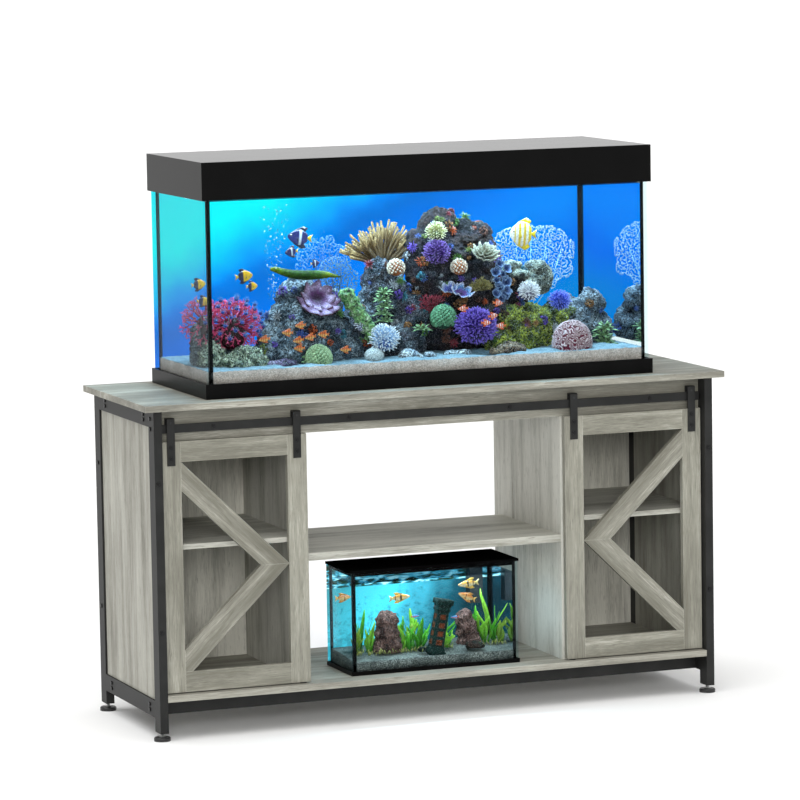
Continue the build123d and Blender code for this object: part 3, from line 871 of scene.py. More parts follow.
def place(piece: Object, finish: Finish, body: str, slot: str, replaces: Sequence[str] = ()) -> None:
    """Give a piece its finish and body, and hide the CAD nodes that it stands for.

    Args:
        piece: The new object.
        finish: Its material.
        body: The body that it rides on.
        slot: The record's material slot; not used.
        replaces: The CAD nodes that it replaces.
    """
    piece.data.materials.clear()
    piece.data.materials.append(finish.material())
    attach(piece, body)
    if replaces:
        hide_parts(*replaces)
    LOG.info("%s rides on %s", piece.name, body)


def dress(finish: Finish, *nodes: str) -> None:
    """Give CAD nodes a finish.

    Args:
        finish: Their new material.
        nodes: The nodes' names.
    """
    for node in nodes:
        mesh = frame["nodes"][node].data
        mesh.materials.clear()
        mesh.materials.append(finish.material())
        LOG.info("%s is %s", node, finish.name)


def lumpy(
    name: str, lumps: Sequence[tuple[Vector, Point]], tones: Sequence[str], voxel: float, relief: float,
    grain: float, floor: float, seed: int,
) -> Object:
    """Melt ellipsoids into one rock, roughen it, tint it in patches and paint shade on its undersides and
    in its dips.

    Args:
        name: The object's name.
        lumps: Each ellipsoid's middle and radii.
        tones: The hex colours of its patches.
        voxel: The mesh's cell size.
        relief: How far the roughness reaches.
        grain: How wide one bump is.
        floor: The height that it doesn't reach below.
        seed: Moves the noise.

    Returns:
        The rock's object.
    """
    raw = bmesh.new()
    for middle, radii in lumps:
        size = Matrix.Diagonal((*[radius * MM for radius in radii], 1.0))
        bmesh.ops.create_icosphere(
            raw, subdivisions=3, radius=1.0, matrix=Matrix.Translation(middle * MM) @ size
        )
    mesh = bpy.data.meshes.new(name + "_raw")
    raw.to_mesh(mesh)
    raw.free()
    source = linked(name + "_raw", mesh)
    remesh = source.modifiers.new("melt", "REMESH")
    remesh.mode = "VOXEL"
    remesh.voxel_size = voxel * MM
    bpy.context.view_layer.update()
    depsgraph = bpy.context.evaluated_depsgraph_get()
    skin = bpy.data.meshes.new_from_object(source.evaluated_get(depsgraph))
    bpy.data.objects.remove(source)
    bpy.data.meshes.remove(mesh)
    skin.name = name
    away = Vector((seed * 7.3, seed * 3.1, seed * 5.7))
    colours = [linear(tone) for tone in tones]
    moved, tints = [], []
    for vertex in skin.vertices:
        where = vertex.co / MM
        bump = noise.fractal(where / grain + away, 0.8, 2.1, 4)
        fine = noise.noise(where / (grain * 0.22) + away)
        spot = where + vertex.normal * relief * (bump + 0.36 * fine)
        spot.z = max(spot.z, floor)
        moved.append(spot)
        patch = noise.noise(where / (grain * 1.25) - away) + 0.35 * noise.noise(where / 7.0)
        tone = along(colours, min(0.999, max(0.0, 0.5 + patch * 0.85)))
        # Painted shade: downward faces and the dips of the roughness get a darker tint.
        light = max(0.0, min(1.0, 0.5 + bump * 0.8 + vertex.normal.z * 0.35))
        tints.append(dimmed(tone, 0.62 + 0.38 * light))
    for vertex, spot in zip(skin.vertices, moved):
        vertex.co = spot * MM
    tinted(skin, tints, True)
    return linked(name, skin)


# ------------------------------------------------------------------ what lives in the tanks
def anemone(
    name: str, centre: Vector, radius: float, tones: Sequence[str], count: int, seed: int
) -> MeshMaker:
    """A crown of tapered tentacles with rounded pale tips on a short foot.

    Args:
        name: The object's name.
        centre: The middle of its mouth.
        radius: How far the tips reach.
        tones: The foot's, the tentacles' and the tips' colours.
        count: How many tentacles it has.
        seed: Seeds its bends.

    Returns:
        Its mesh.
    """
    rng = random.Random(seed)
    made = MeshMaker(name)
    foot, arm, tip = (linear(tone) for tone in tones)
    made.ball(centre - Vector((0, 0, radius * 0.3)), (radius * 0.55, radius * 0.55, radius * 0.45), foot)
    face = Matrix.Rotation(0.8, 3, "X")
    for way in dome_directions(count, -0.35):
        way = face @ way
        bend = Vector((rng.uniform(-1, 1), rng.uniform(-1, 1), rng.uniform(-0.2, 0.9))) * radius * 0.22
        root = centre + Vector((way.x * 0.3, way.y * 0.3, way.z * 0.25 - 0.1)) * radius
        reach = Vector((way.x, way.y * 0.8, way.z * 0.9)) * radius * rng.uniform(0.82, 1.0)
        end = centre + reach + bend * 0.35
        middle = (root + end) / 2 + bend * 0.5
        path = [root, (root + middle) / 2, middle, (middle + end) / 2, end, end + (end - middle) * 0.1]
        thick = radius * 0.034
        radii = [thick * 1.1, thick, thick * 0.85, thick * 0.75, thick * 0.95, thick * 0.4]
        tints = [foot, mixed(foot, arm, 0.6), arm, arm, tip, tip]
        made.tube(path, radii, tints, sides=7)
    return made


def bumpy(name: str, centre: Vector, radius: float, tones: Sequence[str], count: int) -> MeshMaker:
    """A dome crowded with round buds, as on a bubble or knob coral.

    Args:
        name: The object's name.
        centre: The dome's middle.
        radius: Its radius with the buds.
        tones: The core's and the buds' colours.
        count: How many buds it has.

    Returns:
        Its mesh.
    """
    made = MeshMaker(name)
    core, bud = (linear(tone) for tone in tones)
    made.ball(centre, radius * 0.84, core, rings=10, sides=18)
    for i, way in enumerate(dome_directions(count, -0.6)):
        size = radius * (0.17 + 0.05 * math.sin(i * 2.4))
        tone = mixed(bud, core, 0.35 * (i % 3) / 2)
        made.ball(centre + way * radius * 0.84, size, tone, rings=6, sides=8)
    return made


def branching(
    made: MeshMaker, start: Vector, way: Vector, length: float, radius: float, depth: int,
    spread: float, tones: tuple[Colour, Colour], rng: random.Random, depth_share: float, keep: float,
) -> None:
    """Grow a twig and its forks into a mesh, nearly in one upright plane.

    Args:
        made: The mesh that it grows in.
        start: The twig's root.
        way: The direction that it sets off in.
        length: The twig's length.
        radius: Its radius at the root.
        depth: How many more times it forks.
        spread: How far its forks turn, in radians.
        tones: The colours of the oldest and the youngest wood.
        rng: The source of its bends.
        depth_share: How far it leaves the plane.
        keep: A fork's length as a share of its parent's.
    """
    bend = Vector((rng.uniform(-0.2, 0.2), rng.uniform(-0.2, 0.2) * depth_share, rng.uniform(-0.1, 0.1)))
    middle = start + way * length * 0.5 + bend * length * 0.3
    end = start + way * length
    tint = mixed(*tones, 1 / (1 + depth * 0.6))
    thin = radius * (0.72 if depth else 0.55)
    made.tube([start, middle, end], [radius, (radius + thin) / 2, thin], tint, sides=6)
    if not depth:
        made.ball(end, thin * 1.15, tones[1], rings=5, sides=6)
        return
    for sign in (-1, 1) if rng.random() < 0.8 else (-1, 0.1, 1):
        angle = sign * spread * rng.uniform(0.55, 1.15)
        turned = Matrix.Rotation(angle, 3, "Y") @ way
        turned.y += rng.uniform(-1, 1) * depth_share * 0.5
        turned.z += 0.12
        branching(
            made, end, turned.normalized(), length * keep * rng.uniform(0.75, 1.15), thin,
            depth - 1, spread, tones, rng, depth_share, keep,
        )


def lace(
    name: str, centre: Vector, radii: tuple[float, float], root: Vector, mesh_mm: float, twig: float,
    tones: tuple[str, str], seed: int,
) -> MeshMaker:
    """A sea fan: a net of fine twigs in an upright plane, on a few stout ribs.

    Args:
        name: The object's name.
        centre: The middle of the fan.
        radii: Its half width and half height.
        root: Where its stem stands.
        mesh_mm: The width of the net's openings.
        twig: A twig's radius.
        tones: The colours of the ribs and of the rim.
        seed: Seeds the net.

    Returns:
        Its mesh.
    """
    rng = random.Random(seed)
    made = MeshMaker(name)
    inner, outer = (linear(tone) for tone in tones)
    knots = []
    rows, columns = int(2 * radii[1] / mesh_mm) + 1, int(2 * radii[0] / mesh_mm) + 1
    for r in range(rows):
        for c in range(columns):
            x = -radii[0] + (c + 0.5 * (r % 2)) * mesh_mm + rng.uniform(-0.36, 0.36) * mesh_mm
            z = -radii[1] + r * mesh_mm + rng.uniform(-0.36, 0.36) * mesh_mm
            turn = math.atan2(z, x)
            edge = 0.9 + 0.42 * noise.noise(Vector((math.cos(turn) * 2.4, math.sin(turn) * 2.4, seed)))
            if (x / radii[0]) ** 2 + (z / radii[1]) ** 2 < edge:
                bow = 7 * math.sin(x / radii[0] * 2.5) + rng.uniform(-1.5, 1.5)
                knots.append(centre + Vector((x, bow, z)))
    joined = set()
    for i, knot in enumerate(knots):
        near = sorted(range(len(knots)), key=lambda k: (knots[k] - knot).length_squared)[1:4]
        for k in near:
            if rng.random() < 0.7:
                joined.add((min(i, k), max(i, k)))
    for i, k in sorted(joined):
        share = min(1.0, (knots[i] - centre).length / max(radii))
        bend = Vector((rng.uniform(-1, 1), 0, rng.uniform(-1, 1))) * mesh_mm * 0.12
        middle = (knots[i] + knots[k]) / 2 + bend
        thick = twig * (1.35 - 0.6 * share)
        made.tube([knots[i], middle, knots[k]], thick, mixed(inner, outer, share), sides=5)
    for lean in (-1.0, -0.5, 0.0, 0.5, 1.0):
        end = centre + Vector((radii[0] * 0.6 * lean, 0, radii[1] * (0.5 - 0.35 * abs(lean))))
        knee = (root + end) / 2 + Vector((radii[0] * 0.1 * lean, 0, -radii[1] * 0.05))
        made.tube([root, knee, end], [twig * 2.6, twig * 2.0, twig * 1.1], inner, sides=7)
    return made


def ruffled(
    name: str, centre: Vector, radius: float, rise: float, folds: int, ripple: float,
    tones: Sequence[str], lean: tuple[float, float], seed: int,
) -> MeshMaker:
    """A cup or plate whose rim is thrown into folds, as on a cabbage coral or a clam's mantle.

    Args:
        name: The object's name.
        centre: The foot's place.
        radius: The rim's radius.
        rise: The rim's height over the foot.
        folds: How many folds go round.
        ripple: How deep the folds are.
        tones: Colours from the foot to the rim.
        lean: Turns about X and Y, in radians.
        seed: Shifts the folds.

    Returns:
        Its mesh.
    """
    made = MeshMaker(name)
    columns, rows = max(36, folds * 8), 14
    turn = Matrix.Rotation(lean[0], 3, "X") @ Matrix.Rotation(lean[1], 3, "Y")
    grid = np.zeros((rows, columns, 3))
    tints = []
    colours = [linear(tone) for tone in tones]
    for r in range(rows):
        share = (r + 0.6) / (rows - 0.4)
        for c, angle in enumerate(turns(columns)):
            fold = math.sin(folds * angle + seed) + 0.4 * math.sin(folds * 1.9 * angle + seed * 2.3)
            out = radius * share * (1 + 0.10 * fold * share)
            up = rise * share**1.7 + ripple * fold * share**2.2
            grid[r, c] = centre + turn @ Vector((out * math.cos(angle), out * math.sin(angle), up))
            speckle = 0.85 + 0.15 * math.sin(c * 2.1 + r)
            tints.append(dimmed(along(colours, share**1.4), speckle))
    made.sheet(grid, radius * 0.05, tints, loop=True)
    return made


@dataclass(frozen=True)
class Blade:
    """A leaf: its length and width, its colours, and how many bands of them lie across it."""

    length: float
    width: float
    tones: tuple[str, ...]
    bands: float = 0.0


def add_blade(
    made: MeshMaker, root: Vector, way: Vector, droop: float, blade: Blade, wave: float = 0.0
) -> None:
    """Add one leaf to a mesh.

    Args:
        made: The mesh.
        root: Where the leaf starts.
        way: The direction that it sets off in.
        droop: How far it bends over, as a share of its length.
        blade: Its sizes and colours.
        wave: How far it snakes from side to side.
    """
    rows, columns = 9, 3
    across = way.cross(UP)
    across = across.normalized() if across.length > 0.05 else Vector((1, 0, 0))
    grid = np.zeros((rows, columns, 3))
    tints = []
    colours = [linear(tone) for tone in blade.tones]
    for r in range(rows):
        share = r / (rows - 1)
        middle = root + way * blade.length * share - UP * droop * blade.length * share**2
        middle += across * wave * math.sin(share * 5.0) * share
        half = blade.width / 2 * max(0.06, math.sin(math.pi * (0.08 + 0.9 * share)) ** 0.7)
        for c in range(columns):
            side = c - 1
            grid[r, c] = middle + across * half * side - UP * abs(side) * half * 0.25
            band = 0.5 + 0.5 * math.sin(blade.bands * share * math.tau + abs(side) * 1.4)
            tints.append(mixed(colours[0], colours[-1], band if blade.bands else share))
    made.sheet(grid, LEAF_MM, tints)


def tuft(
    name: str, centre: Vector, blade: Blade, count: int, lowest: float, droop: float, seed: int,
    spread: float,
) -> MeshMaker:
    """A rosette of leaves.

    Args:
        name: The object's name.
        centre: Its root.
        blade: The leaves' sizes and colours.
        count: How many leaves it has.
        lowest: How low the outer leaves point, from 1 for upright to 0 for level.
        droop: How far they bend over.
        seed: Seeds their lengths.
        spread: How far their roots lie apart.

    Returns:
        Its mesh.
    """
    rng = random.Random(seed)
    made = MeshMaker(name)
    for way in dome_directions(count, lowest):
        size = rng.uniform(0.75, 1.1)
        leaf = replace(blade, length=blade.length * size, width=blade.width * size)
        root = centre + Vector((way.x, way.y, 0)) * spread * rng.uniform(0.3, 1.0)
        add_blade(made, root, way, droop * rng.uniform(0.6, 1.3), leaf, wave=blade.width * 0.2)
    return made


@dataclass(frozen=True)
class Fish:
    """A small fish: a deep or slim body with bands, fins and eyes."""

    name: str
    length: float
    depth: float
    body: str
    belly: str
    fins: str
    tail: str
    bands: tuple[tuple[float, float, str], ...] = ()
    width: float = 0.16
    fin_height: float = 0.30

    def build(self, middle: Vector, heading: float, pitch: float = 0.0) -> MeshMaker:
        """Make the fish.

        Args:
            middle: The middle of its body.
            heading: Which way its nose points, in degrees from +X.
            pitch: How far its nose is up, in degrees.

        Returns:
            Its mesh.
        """
        level = Matrix.Rotation(math.radians(heading), 3, "Z")
        turn = level @ Matrix.Rotation(-math.radians(pitch), 3, "Y")
        made = MeshMaker(self.name)

        def at(x: float, y: float, z: float) -> Vector:
            """A point in body lengths, with x from the tail's root at 0 to the nose at 1."""
            return middle + turn @ Vector(((x - 0.45) * self.length, y * self.length, z * self.length))

        body, belly, fins, tail = (linear(code) for code in (self.body, self.belly, self.fins, self.tail))
        stations, sides = 18, 14
        rings, tints = [], []
        for s in range(stations):
            x = s / (stations - 1)
            bulge = max(0.0, math.sin(math.pi * (0.09 + 0.9 * x) ** 0.9)) ** 0.75
            high = self.depth / 2 * bulge + 0.012
            wide = self.width / 2 * max(0.0, math.sin(math.pi * (0.05 + 0.93 * x))) ** 0.8 + 0.006
            rings.append([at(x * 0.86, wide * math.cos(t), high * math.sin(t)) for t in turns(sides)])
            banded = [linear(code) for start, end, code in self.bands if start <= x <= end]
            for t in turns(sides):
                tints.append(banded[-1] if banded else mixed(belly, body, 0.5 + 0.9 * math.sin(t)))
        made.loft(rings, tints)

        def fin(rows: Sequence[Sequence[tuple[float, float]]], tone: Colour, aside: float = 0.0) -> None:
            """Add a thin fin.

            Args:
                rows: Its x and z places, row by row.
                tone: Its colour.
                aside: How far each row stands off the one before.
            """
            grid = np.array([[tuple(at(x, aside * r, z)) for x, z in row] for r, row in enumerate(rows)])
            made.sheet(grid, 0.018 * self.length, tone)

        half, tall = self.depth / 2, self.fin_height
        fin([[(0.03, 0.02), (0.03, 0.0), (0.03, -0.02)], [(-0.1, 0.1), (-0.09, 0.0), (-0.1, -0.1)],
             [(-0.22, 0.17), (-0.15, 0.0), (-0.22, -0.17)]], tail)
        for sign in (1, -1):
            rows = []
            for places in (
                ((0.14, 0.45, 0.0), (0.4, 0.85, 0.0), (0.62, 0.75, 0.0)),
                ((0.10, 0.5, 0.45), (0.30, 0.9, 0.35), (0.56, 0.85, 0.1)),
                ((0.02, 0.5, 0.8), (0.22, 0.9, 0.6), (0.52, 0.88, 0.14)),
            ):
                rows.append([(x, sign * (half * deep + tall * high)) for x, deep, high in places])
            fin(rows, fins)
            fin([[(0.60, -0.03), (0.60, -0.10)], [(0.50, -0.02), (0.49, -0.13)],
                 [(0.42, -0.02), (0.41, -0.14)]], fins, aside=sign * self.width * 0.32)
            eye = at(0.73, sign * self.width * 0.30, self.depth * 0.10)
            pupil = eye + turn @ Vector((0, sign * self.length * 0.02, 0))
            made.ball(eye, self.length * 0.036, linear("E8E2C0"), rings=6, sides=8)
            made.ball(pupil, self.length * 0.024, BLACK, rings=6, sides=8)
        return made


def bed_surface(
    name: str, low: Vector, high: Vector, wave: float, cell: float, grain: float, drop: float = 0.0
) -> MeshMaker:
    """A settled bed: flat at the glass, low dunes and single grains on top.

    Args:
        name: The object's name.
        low: The bed's lowest corner.
        high: The bed's highest corner.
        wave: How high the dunes are.
        cell: The mesh's cell size.
        grain: The size of a raised grain.
        drop: How much lower it lies at the front.

    Returns:
        Its mesh, closed underneath.
    """
    made = MeshMaker(name)
    wide, deep = int((high.x - low.x) / cell) + 1, int((high.y - low.y) / cell) + 1
    top = []
    for j in range(deep):
        for i in range(wide):
            x = low.x + (high.x - low.x) * i / (wide - 1)
            spot = Vector((x, low.y + (high.y - low.y) * j / (deep - 1), 0))
            margin = min(i, wide - 1 - i, j, deep - 1 - j) * cell / 35
            dunes = noise.fractal(spot / 90, 0.8, 2.0, 3) * wave * min(1.0, margin)
            pebble = noise.voronoi(spot / grain)[0][0] * grain * 0.35
            slope = drop * (1 - j / (deep - 1)) ** 2
            top.append(spot + UP * (high.z + min(dunes, 0.6 * wave) - pebble - slope))
    faces = []
    for start in range(0, (deep - 1) * wide, wide):
        for i in range(start, start + wide - 1):
            faces.append((i, i + 1, i + wide + 1, i + wide))
    border = list(range(wide)) + [j * wide + wide - 1 for j in range(1, deep)]
    border += [(deep - 1) * wide + i for i in reversed(range(wide - 1))]
    border += [j * wide for j in reversed(range(1, deep - 1))]
    under = len(top)
    points = top + [Vector((top[i].x, top[i].y, low.z)) for i in border]
    count = len(border)
    for k in range(count):
        n = (k + 1) % count
        faces.append((border[n], border[k], under + k, under + n))
    faces.append(tuple(under + k for k in reversed(range(count))))
    made.add(points, faces, WHITE)
    return made


def place_water(name: str, room: Room, body: str, bed_gap: float, back_gap: float) -> None:
    """Place the water's top, and its mirror on the right pane.

    Both end a little short of the panes, so that nothing touches as a tank moves.

    Args:
        name: What the two pieces' names start with.
        room: The water's room.
        body: The body that they ride on.
        bed_gap: How far above the bed the mirror starts.
        back_gap: How far the top stays from the back.
    """
    front, back = room.front + PANE_GAP, room.back - PANE_GAP
    for part, finish, low, high in (
        ("top", WATER, (room.left + PANE_GAP, front, room.top - 1.0),
         (room.right - PANE_GAP, room.back - back_gap, room.top)),
        ("side", WATER_SIDE, (room.right - 0.9, front, room.bed + bed_gap),
         (room.right - 0.5, back, room.top - 2)),
    ):
        made = MeshMaker(f"{name}_{part}")
        corners = ((low[0], low[1]), (high[0], low[1]), (high[0], high[1]), (low[0], high[1]))
        made.loft([[Vector((x, y, z)) for x, y in corners] for z in (low[2], high[2])], WHITE)
        place(made.build(False), finish, body, "float_glass")


def add_light(name: str, kind: str, **settings: Any) -> Object:
    """Make a light.

    Args:
        name: Its name.
        kind: SUN or AREA.
        settings: Its properties.

    Returns:
        Its object.
    """
    light = bpy.data.lights.new(name, kind)
    for setting, value in settings.items():
        setattr(light, setting, value)
    return linked(name, light)


def hang_lamp(name: str, body: str, spot: Vector, wide: float, watts: float, **settings: Any) -> None:
    """Hang a long lamp from a body, shining down.

    Args:
        name: Its name.
        body: The body that carries it.
        spot: Its middle.
        wide: Its length along X.
        watts: Its power.
        settings: Other properties of the light.
    """
    size = {"shape": "RECTANGLE", "size": wide * MM, "size_y": LAMP_DEPTH * MM}
    lamp = add_light(name, "AREA", energy=watts, **size, **settings)
    lamp.parent = frame["bodies"][body]
    lamp.matrix_parent_inverse = lamp.parent.matrix_world.inverted()
    lamp.location = spot * MM


# ------------------------------------------------------------------ finishes of this aquarium
# Powder coat on the frame: near black, with a soft pebbly sheen that breaks up reflections.
STEEL = Coated("textured_powder_coat", 0.5, colour="1E1E1D", cloud="272726", relief_mm=1.6,
               relief_strength=0.25, specular=0.22)
# Blackened bolts: dark metal that glints a little at the edges of the heads.
OXIDE = Coated("black_oxide_steel", 0.42, colour="161616", cloud="202020", metallic=0.6,
               relief_strength=0.1)
# Rollers, guides and inserts: plain black moulded plastic, satin.
NYLON = Coated("moulded_nylon", 0.45, colour="141414", cloud="1E1E1E", relief_strength=0.1)
# Rims and lid: deep black that hardly shines; the hood's cover is the same plastic, but glossy.
RIM_ABS = Coated("moulded_abs_satin", 0.30, colour="060606", cloud="0B0B0B", relief_mm=0.9,
                 relief_strength=0.05, specular=0.06)
HOOD_ABS = Coated("moulded_abs_hood", 0.10, colour="080808", cloud="0A0A0A", relief_mm=1.1,
                  relief_strength=0.0, specular=0.06, wear=0.012)
LID_ABS = Coated("moulded_abs_lid", 0.65, colour="060606", cloud="090909", relief_strength=0.05,
                 specular=0.0)
# The filter: dark grey plastic, a little shiny under water.
PIPE_ABS = Coated("moulded_abs_filter", 0.30, colour="1B1E20", cloud="2A2F32", relief_strength=0.1)
# Lamp bars: pale satin metal.
LAMP_ALLOY = Coated("anodised_aluminium", 0.36, colour="BFC3C6", cloud="CDD1D3", metallic=1.0,
                    relief_strength=0.05)
# Beads in the corners: black rubber with a wet-looking, slightly wavy skin, tooled by a finger.
SEAM = Coated("cured_silicone", 0.35, colour="060708", cloud="0B0D0E", relief_mm=3.0, relief_strength=0.1,
              specular=0.08)
# Panes and water: clear, with a mirror image only at a glance; the water is a little bluer.
GLASS = FloatGlass("clear_float_glass", 0.0)
WATER = FloatGlass("still_water", 0.0, tint="EAF8FF")
WATER_SIDE = FloatGlass("water_side_face", 0.02, tint="FFFFFF", mirror="EAF6FF", face_on=0.0,
                        at_a_glance=0.97, rise=1.0, clear_to=0.3, mirror_from=0.5)
FOOT = LevellingFoot("zinc_stud_in_moulded_foot", 0.38)
LENS = LampLens("frosted_lamp_lens", 0.4)
# Reef rock: dark hollows, partly painted shade, and pale crust, so that no two spots look alike;
# the mountain's is redder.
ROCK = Mottled("porous_reef_rock", 0.85, mottle_mm=4.0, shade=0.03, relief_mm=3.4, pits_mm=5.0,
               speck="A2B2BC", speck_share=0.44, depth=1.2, spread=0.07)
DARK_ROCK = replace(ROCK, name="burgundy_reef_rock", speck="6E646C", speck_share=0.36)
# Lava rock: brown-red and rough, with small pits.
LAVA = Mottled("rough_lava_rock", 0.9, mottle_mm=3.6, spread=0.08, shade=0.12, relief_mm=2.6, pits_mm=4.5,
               speck="B08A80", speck_share=0.3, depth=0.62)
# Coral: chalky and grainy where it is stony, smooth where it is soft; both have a faint painted glow,
# stronger on the soft one.
CORAL = Mottled("coral_polyps", 0.6, mottle_mm=2.6, spread=0.09, shade=0.22, relief_mm=1.0, glow=0.10,
                depth=0.68)
SOFT_CORAL = Mottled("soft_coral_flesh", 0.35, mottle_mm=6.0, shade=0.5, relief_mm=0.5, glow=0.16,
                     depth=0.66)
# Fish: bright, finely scaled and slick, with a painted glow; the eel's skin is duller and blotched.
SCALES = Mottled("fish_scales", 0.3, mottle_mm=3.0, shade=0.5, relief_mm=0.25, specular=0.6, glow=0.3)
EEL_SKIN = Mottled("mottled_eel_skin", 0.5, mottle_mm=6.0, spread=0.09, shade=0.25, relief_mm=0.4,
                   specular=0.08)
# Leaves: thin moulded plastic, with a painted glow for the light that comes through.
LEAF = Mottled("soft_plastic_leaf", 0.45, mottle_mm=5.0, shade=0.6, relief_mm=0.3, glow=0.12, depth=0.9)
# The column: cast resin, painted dark green with worn, spotty patches.
RESIN = Mottled("cast_painted_resin", 0.6, mottle_mm=5.0, shade=0.3, relief_mm=1.4, pits_mm=5.0,
                speck="5A8A7A", speck_share=0.25, depth=0.8, spread=0.1, specular=0.1)
# Beds: a salt-and-pepper of grains, with blue lamp light painted on top, and greyer behind the glass.
SAND = Grains(
    "washed_coral_sand", 0.8,
    tones=((0.2, "4E616C"), (0.5, "6A828E"), (0.8, "8EA2AC")),
    side_tones=((0.2, "786C65"), (0.5, "998B83"), (0.8, "B9A9A0")),
)
GRAVEL = Grains(
    "dark_washed_gravel", 0.6, grain_mm=1.7,
    tones=((0.30, "3A3E3C"), (0.5, "5A5F5B"), (0.66, "7C827C"), (0.76, "A4A8A2")),
    side_tones=((0.30, "262927"), (0.5, "474B48"), (0.66, "6A6E6A"), (0.76, "989B96")),
)


@dataclass
class Stand:
    """The barn-door stand: oak-faced boards in a powder-coated steel frame."""

    brace_tip: tuple[float, float] = (377.0, 396.0)  # where a door's two braces meet, in X and Z
    brace_run: float = 262.0
    brace_rise: float = 256.0

    def oak(
        self, name: str, grain: Grain, seed: float, light: str, dark: str, side: int = 1,
        vein: str = "646156",
    ) -> GreyOak:
        """Make the board finish in one grain direction and tone.

        Args:
            name: What it is called after its prefix.
            grain: The direction of its grain.
            seed: Shifts its print.
            light: The hex colour of its paler wood.
            dark: The hex colour of its darker wood.
            side: Which door's braces it follows; 1 is the right and -1 the left.
            vein: The hex colour of its veins.

        Returns:
            The finish.
        """
        return GreyOak(
            "oak_melamine_" + name, 0.52, grain=grain, seed=seed, light=light, dark=dark, vein=vein,
            brace_tip=(side * self.brace_tip[0] * MM, 0.0, self.brace_tip[1] * MM),
            brace_slope=math.atan2(self.brace_rise, self.brace_run) - math.pi / 2,
        )

    def build(self) -> None:
        """Dress the boards, the steel and the small parts."""
        lying, standing = Grain.ALONG, Grain.UPRIGHT
        dress(self.oak("top", lying, 0.3, "8C8A7F", "75736A"), "top_board")
        dress(self.oak("bottom", lying, 1.1, "9C9A8F", "827F75"), "bottom_board")
        dress(self.oak("fascia", lying, 2.3, "87857A", "6F6D63"), "fascia")
        # The same oak print in lit and shaded copies: shelves and side panels are painted lighter than the
        # front boards, as painted light; the partitions and back panels in the bays are painted lighter
        # still, painted fill light where they lie in shade.
        dress(self.oak("shelves", lying, 3.7, "B4B3A9", "98978D"), "side_shelves", "centre_shelf")
        dress(self.oak("sides", standing, 4.9, "A6A59B", "8E8C82"), "side_panel_left", "side_panel_right")
        dress(self.oak("walls", standing, 5.3, "C3C2B9", "A9A89E"), "partition_left", "partition_right")
        dress(self.oak("backs", standing, 6.1, "D2D0C4", "B4B2A7", vein="8E8B80"), "back_panels")
        for seed, side, sign in ((7.7, "left", -1), (8.9, "right", 1)):
            stiles = self.oak(side + "_stiles", standing, seed, "939185", "7A786D")
            rails = self.oak(side + "_rails", lying, seed + 0.4, "8C8A7E", "737166")
            braces = self.oak(side + "_braces", Grain.BRACE, seed + 0.7, "87857A", "6E6C61", sign)
            for board, finish in (("stiles", stiles), ("rails", rails), ("braces", braces)):
                dress(finish, f"{side}_door_{board}")
            dress(STEEL, side + "_door_hangers")
            dress(OXIDE, side + "_door_bolts")
            dress(NYLON, side + "_outer_roller", side + "_inner_roller")
        dress(STEEL, "front_posts", "rear_posts", "side_rails", "cross_rails", "barn_rail", "rail_spacers")
        dress(OXIDE, "frame_bolts", "rail_bolts")
        dress(NYLON, "foot_inserts", "door_guides")
        dress(FOOT, *(f"foot_{end}_{side}" for end in ("front", "rear") for side in ("left", "right")))


